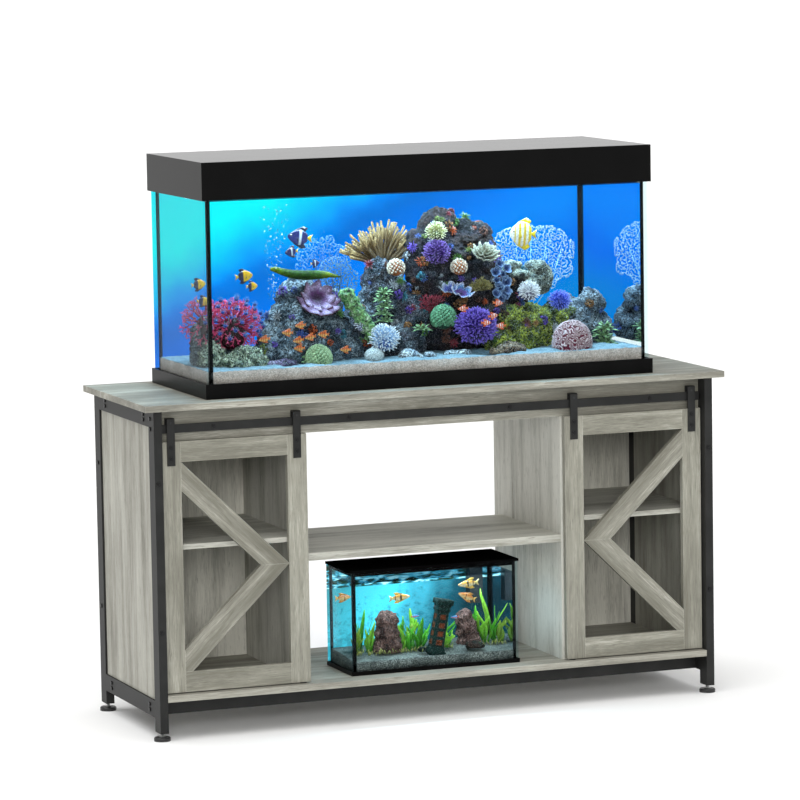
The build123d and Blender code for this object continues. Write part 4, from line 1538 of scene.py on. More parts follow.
@dataclass
class MainTank:
    """The large tank: glass, rims, hood with lamps, sand and a reef."""

    water_gap: float = 12.0
    lamp_watts: float = 8.4
    lens_share: float = 0.36
    rock_cell: float = 3.0
    bubble_count: int = 230

    def __post_init__(self) -> None:
        """Take the water's room from the sand and the front glass."""
        low, high = box_mm("sand_bed")
        top = box_mm("tank_front_glass")[1].z - self.water_gap
        self.sand = (low, high)
        self.room = Room(low.x, high.x, low.y, high.y, high.z, top)

    def build(self) -> None:
        """Build the tank and everything in it."""
        for step in (
            self.build_shell, self.build_lamps, self.build_bed, self.build_rocks, self.build_corals,
            self.build_crust, self.build_anemones, self.build_leaves, self.build_fish,
        ):
            step()
        place_water("water", self.room, "stand", 8, PANE_GAP)

    def build_shell(self) -> None:
        """Dress the glass, rims, seams, film, hood and lamp bars."""
        low, high = box_mm("tank_backdrop")
        film = PrintedFilm(
            "printed_water_film", 0.5, low=tuple(low * MM), high=tuple(high * MM),
            stops=(
                (0.00, "18F4FF"), (0.12, "10FCFF"), (0.32, "0CFEFF"), (0.40, "10E6FC"), (0.46, "0AD0FC"),
                (0.52, "08B4FC"), (0.57, "06A0FC"), (0.62, "0486F0"), (0.68, "0474DC"), (0.78, "0478EC"),
                (0.93, "0686FD"), (1.05, "088CFC"), (1.3, "0676F0"), (1.5, "0A86DC"), (1.8, "0A80C8"),
            ),
            slant=0.8, glow=1.08,
        )
        dress(film, "tank_backdrop")
        dress(GLASS, "tank_bottom_glass", "tank_front_glass", "tank_rear_glass", "tank_side_glass")
        dress(SEAM, "tank_seams")
        dress(RIM_ABS, "tank_trim", "hood_frame")
        dress(HOOD_ABS, "hood_cover")
        dress(LAMP_ALLOY, "light_bars")

    def build_lamps(self) -> None:
        """Put lenses under the lamp bars, and the light that they give."""
        low, high = box_mm("light_bars")
        end_gap, bulge, sunk = 12, 2.2, 0.6
        left, right, edge = low.x + end_gap, high.x - end_gap, self.lens_share * LAMP_DEPTH
        arc = [(edge * math.cos(math.pi * k / 8), -bulge * math.sin(math.pi * k / 8)) for k in range(9)]
        section = arc + [(-edge, sunk), (edge, sunk)]
        for name, y in (("front", low.y + LAMP_DEPTH / 2), ("rear", high.y - LAMP_DEPTH / 2)):
            made = MeshMaker(f"lamp_lens_{name}")
            ends = [[Vector((x, y + a, low.z - 0.7 + b)) for a, b in section] for x in (left, right)]
            made.loft(ends, WHITE)
            place(made.build(smooth=False), LENS, "hood", "light_bar_aluminium")
            hang_lamp(f"lamp_{name}", "hood", Vector((0.0, y, low.z - 6.0)), right - left, self.lamp_watts,
                      color=(0.86, 0.95, 1.0), specular_factor=0.3)

    def build_bed(self) -> None:
        """The sand, with low dunes."""
        low, high = self.sand
        bed = bed_surface("sand", low, high, wave=9.0, cell=4.0, grain=9.0)
        place(bed.build(), SAND, "stand", "coral_sand", ["sand_bed"])

    def rock(
        self, name: str, lumps: Sequence[tuple[float, ...]], tones: Sequence[str], seed: int,
        relief: float = 9.0, grain: float = 26.0, finish: Finish = ROCK,
    ) -> None:
        """Make one reef rock.

        Args:
            name: Its name.
            lumps: What it is melted from, each as across, behind, above and three radii.
            tones: The hex colours of its patches.
            seed: Moves its roughness.
            relief: How far the roughness reaches.
            grain: How wide one bump is.
            finish: Its material.
        """
        inside = [(self.room.spot(*lump[:3]), lump[3:]) for lump in lumps]
        piece = lumpy(name, inside, tones, self.rock_cell, relief, grain, self.room.bed - SUNK_MM, seed)
        place(piece, finish, "stand", "reef_rock", ["reef_rocks"])

    def build_rocks(self) -> None:
        """The left mound, the centre rock, the mountain and the low rocks round them."""
        self.rock("rock_mound", [
            (-330, 125, 20, 62, 60, 66), (-290, 150, 80, 70, 62, 70), (-270, 165, 140, 56, 46, 56),
            (-215, 165, 110, 52, 46, 60), (-215, 150, 60, 66, 58, 66), (-175, 140, 15, 52, 50, 50),
            (-345, 140, 55, 34, 40, 44), (-240, 120, 20, 60, 52, 44),
        ], ("0E131C", "26323F", "44525F", "88939C", "2A3646"), 3)
        self.rock("rock_left_green", [
            (-425, 104, 8, 46, 36, 36), (-462, 112, 4, 30, 30, 22), (-392, 100, 2, 24, 24, 20),
            (-500, 140, 14, 34, 36, 44),
        ], ("3A4438", "7C8A70", "C9D2BC", "8FA08A", "4A584C"), 4, 8.0, 13.0)
        self.rock("rock_low_violet", [(-345, 66, 0, 30, 24, 12), (-372, 74, 0, 16, 16, 8)],
                  ("3A2E4A", "6E5E80", "9E94B0"), 5, 4.0, 14.0)
        self.rock("rock_centre", [
            (-95, 190, 60, 58, 52, 80), (-45, 190, 130, 62, 52, 86), (20, 185, 70, 60, 52, 74),
            (-20, 160, 25, 70, 50, 50), (-60, 180, 190, 40, 36, 40),
        ], ("10151E", "2B3746", "55525C", "3C4654", "7C8792"), 7)
        self.rock("rock_mountain", [
            (105, 205, 290, 50, 46, 52), (195, 205, 258, 50, 44, 48), (60, 205, 252, 42, 40, 42),
            (120, 205, 220, 84, 58, 70), (140, 205, 130, 112, 62, 80), (190, 200, 60, 120, 62, 70),
            (80, 190, 60, 76, 60, 70), (205, 200, 180, 56, 50, 70), (60, 190, 190, 46, 44, 60),
            (290, 195, 140, 46, 44, 52), (250, 190, 60, 60, 56, 60), (160, 205, 262, 56, 46, 52),
            (206, 205, 226, 40, 44, 48), (58, 200, 236, 40, 40, 50),
        ], ("07070A", "13141D", "261F29", "372824", "15181F"), 9, 10.0, 30.0, DARK_ROCK)
        self.rock("rock_mossy", [
            (300, 150, 40, 80, 52, 66), (350, 160, 30, 62, 52, 56), (235, 140, 15, 44, 42, 34),
            (385, 170, 45, 40, 44, 60),
        ], ("1E240C", "546020", "A0A83C", "66722A", "343C18"), 11, 8.0, 20.0)
        self.rock("rock_right_grey", [
            (470, 190, 40, 60, 50, 66), (492, 180, 90, 34, 36, 40), (520, 190, 30, 26, 44, 46),
            (430, 200, 60, 40, 40, 60),
        ], ("1C2430", "465260", "848E98", "5E6A76"), 13)
        self.rock("rock_rough_brown", [(231, 66, 0, 40, 26, 22), (196, 60, 0, 20, 16, 12)],
                  ("4B3A34", "7E6A58", "A08C74"), 15, 5.0, 14.0)
        self.rock("rock_pale", [
            (-32, 66, 2, 26, 20, 17), (105, 56, 0, 20, 15, 12), (72, 60, 0, 18, 14, 12),
            (-12, 58, 0, 14, 12, 8), (24, 70, 0, 16, 14, 10),
        ], ("6E7C8C", "A2AEB8", "C9D2D6"), 17, 3.0, 14.0)
        self.rock("rock_behind_left", [
            (-512, 166, 24, 34, 30, 52), (-478, 176, 34, 38, 30, 48), (-524, 176, 50, 22, 22, 40),
            (-446, 172, 14, 30, 28, 36),
        ], ("10161C", "36424A", "6E7A80", "4A545A"), 19, 8.0, 20.0)
        self.rock("rock_shells", [
            (283, 178, 196, 28, 20, 12), (300, 166, 174, 26, 22, 11), (350, 186, 186, 32, 24, 20),
            (330, 180, 150, 34, 26, 26), (366, 190, 160, 30, 24, 40),
        ], ("1E201C", "50544C", "7E8276", "9E9E8E"), 21, 3.0, 12.0)

    def coral(self, made: MeshMaker, finish: Finish = CORAL) -> None:
        """Place one coral."""
        place(made.build(), finish, "stand", "coral", ["corals"])

    def build_corals(self) -> None:
        """Stony and horny corals and the clam."""
        at = self.room.spot
        rng = random.Random(21)
        for name, x, y, z, wide, count in (
            ("coral_red_bush", -446, 148, 96, 58, 74), ("coral_red_far_left", -508, 176, 100, 34, 30),
        ):
            red, tones = MeshMaker(name), (linear("6A0A28"), linear("F0487C"))
            heart = at(x, y, z)
            red.ball(heart - UP * 26, (wide * 0.6, 26, 40), linear("2A060C"), rings=10, sides=16)
            for way in dome_directions(count, -0.75):
                root = heart + Vector((way.x * wide * 0.55, way.y * 22, way.z * 26 - 6))
                branching(red, root, way, 15, 2.6, 3, 0.62, tones, rng, 0.9, 0.78)
            self.coral(red, SOFT_CORAL)
        stars = MeshMaker("polyp_stars_blue")
        for k, way in enumerate(dome_directions(64, -0.5)):
            if way.y < 0.1:
                spot = at(-446, 140, 96) + Vector((way.x * 72, way.y * 62, way.z * 64))
                stars.join(anemone("star", spot, 9.0, ("1E3A8E", "5AA4E8", "C6E8FF"), 16, k))
        self.coral(stars, SOFT_CORAL)
        blue, grey, pale = ("2F6FC8", "8FD0FF"), ("2A4A66", "86B4CC"), ("9ED8F2", "E6FBFF")
        for name, middle, radii, root, net, twig, tones, seed in (
            ("gorgonian_blue", (-166, 285, 208), (84, 72), (-150, 280, 100), 4.8, 0.6, blue, 3),
            ("gorgonian_grey", (-150, 255, 166), (66, 66), (-150, 250, 90), 4.2, 0.75, grey, 6),
            ("sea_fan_lace", (382, 290, 200), (132, 88), (372, 285, 60), 4.6, 0.55, pale, 4),
        ):
            self.coral(lace(name, at(*middle), radii, at(*root), net, twig, tones, seed), SOFT_CORAL)
        fan = MeshMaker("coral_tan_fingers")
        tones = [linear(code) for code in ("2A2012", "644A2A", "8A6A40", "C09C66")]
        for k in range(64):
            lean = 1.3 * (2 * ((k * 0.618) % 1) - 1)
            tall = (108 - 16 * abs(lean)) * rng.uniform(0.72, 1.0)
            root = at(-38 + 14 * lean, 222 + rng.uniform(-16, 16), 212)
            way = Vector((math.sin(lean), rng.uniform(-0.22, 0.1), math.cos(lean) * 0.95 + 0.05))
            knee = root + way * tall * 0.5 + Vector((rng.uniform(-3, 3), 0, rng.uniform(-2, 2)))
            tip = root + way * tall
            path = [root, (root + knee) / 2, knee, (knee + tip) / 2, tip]
            fan.tube(path, [3.8, 3.6, 3.3, 3.0, 2.6], [tones[i] for i in (0, 1, 1, 2, 3)], sides=8)
            fan.ball(tip, 3.0, tones[3], rings=5, sides=8)
            fork = knee + (way + Vector((rng.choice((-1, 1)) * 0.35, 0, 0))) * tall * 0.38
            fan.tube([knee, (knee + fork) / 2, fork], [3.0, 2.8, 2.4], tones[1:], sides=8)
        self.coral(fan)
        for name, place_at, radius, tones, count in (
            ("coral_orange_buds", (-36, 128, 208), 23, ("A65A2A", "F3E3CF"), 70),
            ("coral_orange_buds_right", (122, 118, 203), 22, ("B5662F", "F6E8D6"), 64),
            ("coral_green_dome", (-258, 70, 8), 34, ("5E8E62", "BFD9A4"), 150),
            ("coral_mat", (76, 108, 84), 33, ("1E4A2E", "72B084"), 150),
        ):
            self.coral(bumpy(name, at(*place_at), radius, tones, count))
        cups, tones = MeshMaker("coral_blue_cups"), ("16244E", "4A68AC", "A4C4F0")
        for k in range(14):
            spot = at(226 + 15 * math.sin(k * 2.4), 112 + rng.uniform(-8, 2), 122 + 6.4 * k)
            wide, lean = rng.uniform(8, 13), rng.uniform(-0.5, 0.5)
            cups.join(ruffled("cup", spot, wide, 9, 4, 1.6, tones, (1.15, lean), k))
        self.coral(cups)
        smooth = MeshMaker("coral_white_dome")
        smooth.ball(at(-120, 65, 8), (24, 22, 19), linear("DCE6E8"), rings=14, sides=24)
        self.coral(smooth)
        for k, (size, lift) in enumerate(((33, 0), (25, 5), (17, 9), (10, 13))):
            foot, tones = at(192, 128 - 2 * k, 222 + lift), ("4E4C3C", "A39E80", "DDD9C4")
            name = f"coral_cream_ruffles_{k}"
            self.coral(ruffled(name, foot, size, 16, 11 - 2 * k, 5, tones, (0.55, 0.0), 2 + k))
        lower, upper = ("2A0A24", "622864", "C09CD0", "4A0E2A"), ("340E34", "6E3878", "D0B4E0", "5A1234")
        violet, blue = ("3A2A6C", "8A5AB8", "5FA8E8", "F4E9FF"), ("2E2A6C", "5A6AC8", "E9EEFF")
        for name, foot, sizes, tones, lean, seed in (
            ("clam_lower", (-244, 104, 134), (50, 6, 9, 6), lower, (0.62, 0.0), 1),
            ("clam_upper", (-244, 112, 146), (40, 10, 8, 6), upper, (0.95, 0.0), 3),
            ("coral_chalice", (123, 112, 138), (27, 12, 7, 5), violet, (0.55, 0.1), 5),
            ("coral_chalice_back", (100, 124, 146), (20, 12, 6, 4), blue, (0.5, -0.3), 8),
        ):
            self.coral(ruffled(name, at(*foot), *sizes, tones, lean, seed))
        dark, tones = MeshMaker("coral_dark_red"), (linear("4E1020"), linear("B03A50"))
        for lean in (-0.9, -0.45, 0.0, 0.45, 0.9):
            way = Vector((math.sin(lean), -0.3, math.cos(lean))).normalized()
            branching(dark, at(55, 140, 96), way, 16, 4.0, 3, 0.55, tones, rng, 0.7, 0.8)
        self.coral(dark)
        bush, tones = MeshMaker("coral_olive_bush"), (linear("3A3420"), linear("9C8C50"))
        for way in dome_directions(26, 0.05):
            ahead = (way + Vector((0, -0.2, 0))).normalized()
            branching(bush, at(181, 122, 145), ahead, 13, 3.0, 2, 0.5, tones, rng, 0.9, 0.75)
        self.coral(bush)
        lumps = [(at(-172 + 12 * k, 104 - 3 * k, 152 - 20 * k), (20, 15, 17)) for k in range(6)]
        tones = ("16301C", "3F8A4A", "A8D88A", "1E4A2A", "D8F0C0")
        leafy = lumpy("coral_green_spotted", lumps, tones, 2.4, 5.0, 8.0, self.room.bed, 51)
        place(leafy, CORAL, "stand", "coral", ["corals"])
        self.coral(self.brain("coral_brain", at(389, 58, 12), (49, 40, 54)))

    def brain(self, name: str, centre: Vector, radii: Point) -> MeshMaker:
        """A brain coral: a dome with winding ridges, pale on top and pink in the valleys.

        Args:
            name: The object's name.
            centre: The dome's middle.
            radii: Its three radii.

        Returns:
            Its mesh.
        """
        made = MeshMaker(name)
        rings, sides = 90, 200
        valley, top = linear("7A1838"), linear("F4DADF")
        loops, tints = [], []
        for a in range(rings):
            lift = math.pi / 2 * (-0.25 + 1.245 * a / (rings - 1))
            loop = []
            for t in turns(sides):
                way = toward(lift, t)
                wind = noise.noise(way * 2.3 + Vector((4, 1, 7))) * 11 + noise.noise(way * 5.0) * 2.5
                ridge = 0.5 + 0.5 * math.cos(wind * 3.0)
                size = 1 + 0.085 * (ridge - 0.5)
                loop.append(centre + Vector([w * r * size for w, r in zip(way, radii)]))
                tints.append(mixed(valley, top, 3.4 * (ridge - 0.42)))
            loops.append(loop)
        made.loft(loops, tints)
        return made

    def build_crust(self) -> None:
        """Small growths on the rocks: buds and spiky tufts."""
        rng = random.Random(77)
        tones = (
            ("3A1018", "A8404E"), ("12303E", "4A9AB0"), ("3A2412", "B07A46"), ("1E1240", "7A58D0"),
            ("122E18", "6A9E4A"), ("34343A", "C8CED6"), ("4A1C0C", "D8602E"), ("101830", "4A6AC0"),
            ("241410", "7A4A3A"), ("1A2A1A", "8A9A4A"),
        )
        for rock, count in (("rock_mountain", 110), ("rock_centre", 34), ("rock_mossy", 20),
                            ("rock_mound", 22), ("rock_right_grey", 8)):
            skin = bpy.data.objects[rock].data
            facing = [v for v in skin.vertices if v.normal.y < 0.1 and v.co.z / MM > self.room.bed + 18]
            buds, tufts = MeshMaker(rock + "_buds"), MeshMaker(rock + "_tufts")
            for k in range(count):
                vertex = rng.choice(facing)
                spot, away = vertex.co / MM, vertex.normal.copy()
                dark, pale = (linear(code) for code in rng.choice(tones))
                size = rng.uniform(6, 14)
                turn = UP.rotation_difference(away).to_matrix()
                if k % 2:
                    for way in dome_directions(rng.randint(9, 18), 0.0):
                        where = spot + turn @ (way * size * 0.8)
                        buds.ball(where, size * rng.uniform(0.22, 0.32), mixed(dark, pale, rng.random()),
                                  rings=5, sides=7)
                else:
                    for way in dome_directions(rng.randint(14, 26), 0.1):
                        end = spot + turn @ (way * size * rng.uniform(0.9, 1.3))
                        path = [spot, (spot + end) / 2 + away, end]
                        radii = [size * 0.1, size * 0.08, size * 0.05]
                        tufts.tube(path, radii, [dark, mixed(dark, pale, 0.6), pale], sides=5)
            self.coral(buds)
            self.coral(tufts, SOFT_CORAL)

    def build_anemones(self) -> None:
        """The anemones and the eel."""
        for name, across, behind, above, radius, tones, count in (
            ("anemone_big_blue", -91, 76, 46, 40, ("3A5A9C", "A9CEF6", "F8FDFF"), 320),
            ("anemone_small_white", -140, 92, 78, 19, ("7C7C9C", "D6DCEF", "FFFFFF"), 60),
            ("anemone_purple_top", 66, 122, 240, 36, ("180A34", "3E2070", "8E66C0"), 220),
            ("anemone_big_purple", 146, 76, 60, 54, ("140838", "3A2284", "7E60CC"), 420),
            ("anemone_white", 304, 120, 136, 30, ("6A6478", "E2E2EA", "FFFFFF"), 230),
            ("anemone_blue_violet", 381, 112, 110, 30, ("161E6E", "3A52D8", "8E9CFF"), 200),
            ("anemone_green_tuft", 69, 132, 290, 28, ("3E4A1A", "A8A458", "FFF8D0"), 150),
        ):
            crown = anemone(name, self.room.spot(across, behind, above), radius, tones, count, len(name))
            self.coral(crown, SOFT_CORAL)
        eel = MeshMaker("moray_eel")
        spot = self.room.spot
        path = [spot(-362, 104, 222), spot(-350, 106, 221), spot(-334, 110, 215), spot(-306, 112, 207),
                spot(-272, 112, 203), spot(-238, 112, 203), spot(-212, 112, 201), spot(-184, 112, 195)]
        head, back = ("8A9A10", "6E8A12", "466A14", "2E5210"), ("2A4E12", "3A5E12", "7E8E18", "2A4418")
        tones = [linear(code) for code in head + back]
        eel.tube(path, [4, 8, 9.5, 12, 13.5, 12, 7, 2], tones, sides=14, flat=0.8)
        eel.ball(path[1] + Vector((-1, -7.2, 3)), 1.9, linear("F2F2E6"), rings=6, sides=8)
        eel.ball(path[1] + Vector((-1.2, -8.6, 3)), 1.1, BLACK, rings=6, sides=8)
        place(eel.build(), EEL_SKIN, "stand", "coral")

    def build_leaves(self) -> None:
        """The banded plants."""
        for name, across, behind, above, size, tiers in (
            ("plant_banded_centre", -76, 112, 84, 24, 5), ("plant_banded_right", 500, 118, 2, 30, 3),
            ("plant_banded_small", 16, 108, 60, 24, 1), ("plant_banded_left", -300, 84, 2, 24, 1),
        ):
            blade = Blade(size, size * 0.36, ("0C2412", "A4CE94"), bands=1.6)
            made = MeshMaker(name)
            for tier in range(tiers):
                spot = self.room.spot(across + 3 * (-1) ** tier, behind, above + 17 * tier)
                made.join(tuft(name, spot, blade, 20, 0.05, 0.35, len(name) + tier, 6))
            place(made.build(), LEAF, "stand", "coral")

    def build_fish(self) -> None:
        """The swimming fish and the bubbles."""
        angel = Fish("angelfish", 58, 0.62, "0E1650", "16247A", "0C1238", "F2CE20",
                     ((0.34, 0.42, "DCE6F2"), (0.66, 0.70, "5A78C8")))
        tang = Fish("tang", 41, 0.62, "F2B400", "FAD020", "141A4A", "F2C400", ((0.0, 0.34, "101648"),))
        butterfly = Fish("butterflyfish", 66, 0.92, "F4F4F0", "FAFAF6", "F4D400", "F4D400",
                         ((0.0, 0.17, "F4D000"), (0.28, 0.38, "F2CC00"), (0.50, 0.60, "F2CC00"),
                          (0.72, 0.82, "F2CC00")))
        clown = Fish("clownfish", 25, 0.42, "EA4E0C", "F6702A", "E85A14", "F27A2A",
                     ((0.20, 0.27, "FAFAFA"), (0.46, 0.54, "FAFAFA"), (0.76, 0.82, "FAFAFA")))
        orange = Fish("anthias", 26, 0.44, "E8641A", "FAC060", "E0702A", "F08030",
                      ((0.28, 0.34, "6A220A"), (0.50, 0.56, "7A2A0C"), (0.70, 0.75, "7A2A0C")))
        swimmers = [
            (angel, 1.0, -289, 120, 294, 180, 8), (angel, 0.56, -311, 110, 260, 185, -6),
            (angel, 0.4, -239, 130, 229, 10, 4), (tang, 1.0, -426, 100, 210, 0, 5),
            (tang, 0.7, -412, 90, 186, 8, 0), (tang, 0.9, -520, 160, 190, 10, 4),
            (tang, 0.8, -512, 150, 150, 0, -4), (butterfly, 1.0, 278, 110, 277, 180, 4),
        ]
        for x, z in (
            (-400, 62), (-342, 75), (-315, 55), (-285, 61), (-252, 66), (-309, 90), (-197, 27), (-313, 36),
        ):
            swimmers.append((orange, 1.0, x, 60, z, 180 if x % 2 else 170, (x % 5) * 3 - 6))
        for x, z in ((93, 112), (188, 121), (175, 91), (157, 75), (190, 66)):
            swimmers.append((clown, 1.0, x, 30, z, 0 if z % 2 else 180, (x % 4) * 4 - 6))
        for i, (kind, size, x, y, z, heading, pitch) in enumerate(swimmers):
            sized = replace(kind, name=f"{kind.name}_{i:02d}", length=kind.length * size)
            place(sized.build(self.room.spot(x, y, z), heading, pitch).build(), SCALES, "stand", "coral")
        rng = random.Random(5)
        # The bubbles are opaque dots in dark blue and white: painted reflections and glints of air.
        bubbles = MeshMaker("bubbles")
        for k in range(self.bubble_count):
            share = (k + rng.random()) / self.bubble_count
            x = -333 + 11 * share + rng.uniform(-1, 1) * (9 + 32 * share)
            tone = linear(rng.choice(("0E6E96", "1A86B4", "C8F6FF")))
            bubbles.ball(self.room.spot(x, 180 + rng.uniform(-6, 6), 143 + 225 * share),
                         rng.uniform(0.8, 1.7), tone, rings=6, sides=8)
        place(bubbles.build(), SOFT_CORAL, "stand", "coral")


@dataclass
class SmallTank:
    """The small tank on the bottom board: gravel, lava rocks, a leaning column, plants and fish."""

    water_depth: float = 177.0
    ripple_drop: float = 62.0
    rock_cell: float = 2.2
    grass_count: int = 150
    column_lean: float = 11.0
    lamp_watts: float = 1.3

    def __post_init__(self) -> None:
        """Take the water's room from the gravel."""
        low, high = box_mm("gravel_bed")
        self.gravel = (low, high)
        self.room = Room(low.x, high.x, low.y, high.y, high.z, high.z + self.water_depth)

    def build(self) -> None:
        """Build the tank and everything in it."""
        self.build_shell()
        self.build_ground()
        self.build_column()
        self.build_leaves()
        self.build_fish()

    def build_shell(self) -> None:
        """Dress the glass, rims, film, filter and lid, and light the lid's underside."""
        low, high = box_mm("small_tank_backdrop")
        film = PrintedFilm(
            "printed_film_small", 0.5, low=tuple(low * MM), high=tuple(high * MM), slant=0.25, glow=1.7,
            ripple_from_mm=high.z - self.ripple_drop, cloud_depth=0.16, clouds_mm=60.0,
            stops=((0.02, "3E7E84"), (0.22, "48B4C6"), (0.5, "50D8F0"), (0.64, "44A8C0"), (0.84, "1E5464"),
                   (1.0, "143038"), (1.3, "101E26")),
        )
        dress(film, "small_tank_backdrop")
        dress(GLASS, "small_tank_glass")
        dress(SEAM, "small_tank_seams")
        dress(RIM_ABS, "small_tank_trim")
        dress(LID_ABS, "small_tank_lid")
        dress(PIPE_ABS, "small_tank_filter")
        lid_low, lid_high = box_mm("small_tank_lid")
        spot = Vector(((low.x + high.x) / 2, self.room.front + 50, lid_low.z - 1.0))
        hang_lamp("lid_lamp", "small_lid", spot, lid_high.x - lid_low.x - 60, self.lamp_watts)

    def build_ground(self) -> None:
        """The gravel, the rocks and the water."""
        low, high = self.gravel
        bed = bed_surface("gravel", low, high, wave=6.0, cell=1.5, grain=3.6, drop=11.0)
        place(bed.build(), GRAVEL, "small_tank", "gravel", ["gravel_bed"])
        at = self.room.spot
        rough, mossy = ("4A302C", "7E5A52", "B0867C", "8A6A62"), ("142E22", "4E3228", "2E5A44")
        for name, lumps, tones, seed in (
            ("lava_rock_left", [
                (-97, 60, 10, 36, 32, 34), (-98, 61, 44, 31, 27, 36), (-97, 62, 70, 27, 24, 26),
                (-112, 58, 6, 22, 22, 20),
            ], rough, 31),
            ("lava_rock_right", [
                (118, 72, 6, 28, 26, 28), (113, 72, 34, 26, 23, 32), (107, 72, 60, 22, 20, 24),
                (128, 66, 2, 18, 18, 14),
            ], rough, 33),
            ("lava_rock_small", [(112, 15, 0, 25, 12, 14)], mossy, 35),
        ):
            inside = [(at(*lump[:3]), lump[3:]) for lump in lumps]
            piece = lumpy(name, inside, tones, self.rock_cell, 5.0, 13.0, self.room.bed - SUNK_MM, seed)
            place(piece, LAVA, "small_tank", "lava_rock", ["small_tank_rocks"])
        place_water("small_water", self.room, "small_tank", -8, 30)

    def build_column(self) -> None:
        """A square column with sunk panels, a plinth and a capital, leaning as if half buried."""
        made = MeshMaker("resin_column")
        foot = self.room.spot(11, 28, -14)
        turn = Matrix.Rotation(math.radians(self.column_lean), 3, "Y")
        dark, pale, brown = linear("0A1A18"), linear("1E3A34"), linear("7A3A1C")
        squareness, sides, swell, stretch, sunk_mm = 7, 64, 1.06, 1.14, 1.1
        rings, tints = [], []
        shaft = [(19 + 1.5 * k, 15.0 - 0.02 * k) for k in range(49)]
        for height, radius in (
            (0, 21), (9, 21), (10, 18), (14, 18), (16, 15.5), *shaft, (94, 15), (96, 17), (98, 17),
            (100, 15), (106, 16.5), (111, 18), (112, 20), (119, 20),
        ):
            ring = []
            rim = mixed(dark, pale, 0.2 + 0.5 * abs(math.sin(height * 0.3)))
            for t in turns(sides):
                aside = abs((t / (math.pi / 2) + 0.5) % 1 - 0.5)
                sunk = 20 < height < 91 and aside < 0.26 and 3 < (height - 19) % 18 < 14
                reach = sum(abs(part) ** squareness for part in (math.cos(t), math.sin(t)))
                chip = 1 + 0.04 * noise.noise(Vector((math.cos(t), math.sin(t), height / 18)) * 2.0)
                size = radius * swell * reach ** (-1 / squareness) - (sunk_mm if sunk else 0.0)
                spot = (size * math.cos(t) * chip, size * math.sin(t) * chip, height * stretch)
                ring.append(foot + turn @ Vector(spot))
                tints.append(brown if sunk else rim)
            rings.append(ring)
        made.loft(rings, tints)
        made.ball(self.room.spot(-24, 20, 3), (11, 8, 7), dark, rings=7, sides=10)
        for sign, side in ((-1, -1), (-1, 1), (1, -1), (1, 1)):
            curl = []
            for a in (0, 0.9, 1.8, 2.7, 3.6, 4.5):
                spot = (sign * (16 + 4.5 * math.cos(a)), side * 14, 124 + 4.5 * math.sin(a))
                curl.append(foot + turn @ Vector(spot))
            made.tube(curl, 2.4, pale, sides=7)
        place(made.build(), RESIN, "small_tank", "resin_ornament", ["small_tank_column"])

    def build_leaves(self) -> None:
        """Tall bunches of leaves and short grass."""
        at = self.room.spot
        rng = random.Random(41)
        green, olive, pale = ("1A5210", "54B028"), ("3A5A16", "8CB03A"), ("2A6E16", "92D23E")
        bunches = (
            (-158, 84, 116, green), (-142, 66, 84, pale), (-176, 60, 70, olive), (-48, 96, 86, green),
            (-62, 58, 74, pale), (-44, 48, 62, green), (-24, 52, 88, green), (52, 46, 58, pale),
            (-30, 74, 66, olive), (-16, 104, 102, pale), (4, 92, 80, green), (48, 100, 64, pale),
            (66, 88, 84, green), (150, 96, 96, green), (160, 70, 146, pale), (178, 60, 100, green),
            (194, 62, 76, olive),
        )
        for i, (x, y, tall, tones) in enumerate(bunches):
            made = MeshMaker(f"water_plant_{i:02d}")
            for k in range(7):
                root = at(x + rng.uniform(-6, 6), y + rng.uniform(-6, 6), -2)
                lean = rng.uniform(-0.5, 0.5) if k else 0.05
                way = Vector((lean, rng.uniform(-0.15, 0.15), 1)).normalized()
                size = tall * (1.0 if not k else rng.uniform(0.45, 0.9))
                leaf = Blade(size, rng.uniform(10.0, 15.0), tones)
                add_blade(made, root, way, 0.1, leaf, wave=rng.uniform(-20, 20))
            place(made.build(), LEAF, "small_tank", "resin_ornament")
        grass = MeshMaker("water_grass")
        for _ in range(self.grass_count):
            x = rng.choice((-1, 1)) * rng.uniform(10, 195)
            if 70 < x < 128:
                continue
            root = at(x, rng.uniform(10, 60), -1)
            way = Vector((rng.uniform(-0.5, 0.5), rng.uniform(-0.4, 0.4), 1)).normalized()
            add_blade(grass, root, way, 0.35, Blade(rng.uniform(10, 22), 2.0, ("4A5A26", "C2C06A")))
        place(grass.build(), LEAF, "small_tank", "resin_ornament")

    def build_fish(self) -> None:
        """Four community fish and three neon tetras."""
        silver = Fish("barb", 50, 0.29, "F0A428", "FFF0C0", "F6C050", "F8D88A",
                      ((0.40, 0.52, "3A2A1A"), (0.08, 0.12, "5A3A1A")), 0.14, 0.22)
        gold = Fish("molly", 42, 0.34, "E8862A", "FBD896", "F0A040", "F6BE60",
                    ((0.42, 0.5, "4A2A16"),), 0.15, 0.22)
        neon = Fish("neon_tetra", 20, 0.26, "2EA6F2", "E8462E", "BFD8E8", "E0503A", (), 0.14, 0.14)
        for i, (kind, x, y, z, heading, pitch) in enumerate((
            (silver, -64, 45, 129, 0, 3), (silver, 102, 45, 149, 180, -4), (gold, 97, 40, 121, 165, 22),
            (gold, -186, 110, 128, 12, 0), (neon, -23, 60, 78, 0, 4), (neon, 75, 60, 68, 180, 0),
            (neon, 40, 70, 96, 8, 0),
        )):
            fish = replace(kind, name=f"{kind.name}_{i:02d}").build(self.room.spot(x, y, z), heading, pitch)
            place(fish.build(), SCALES, "small_tank", "resin_ornament")


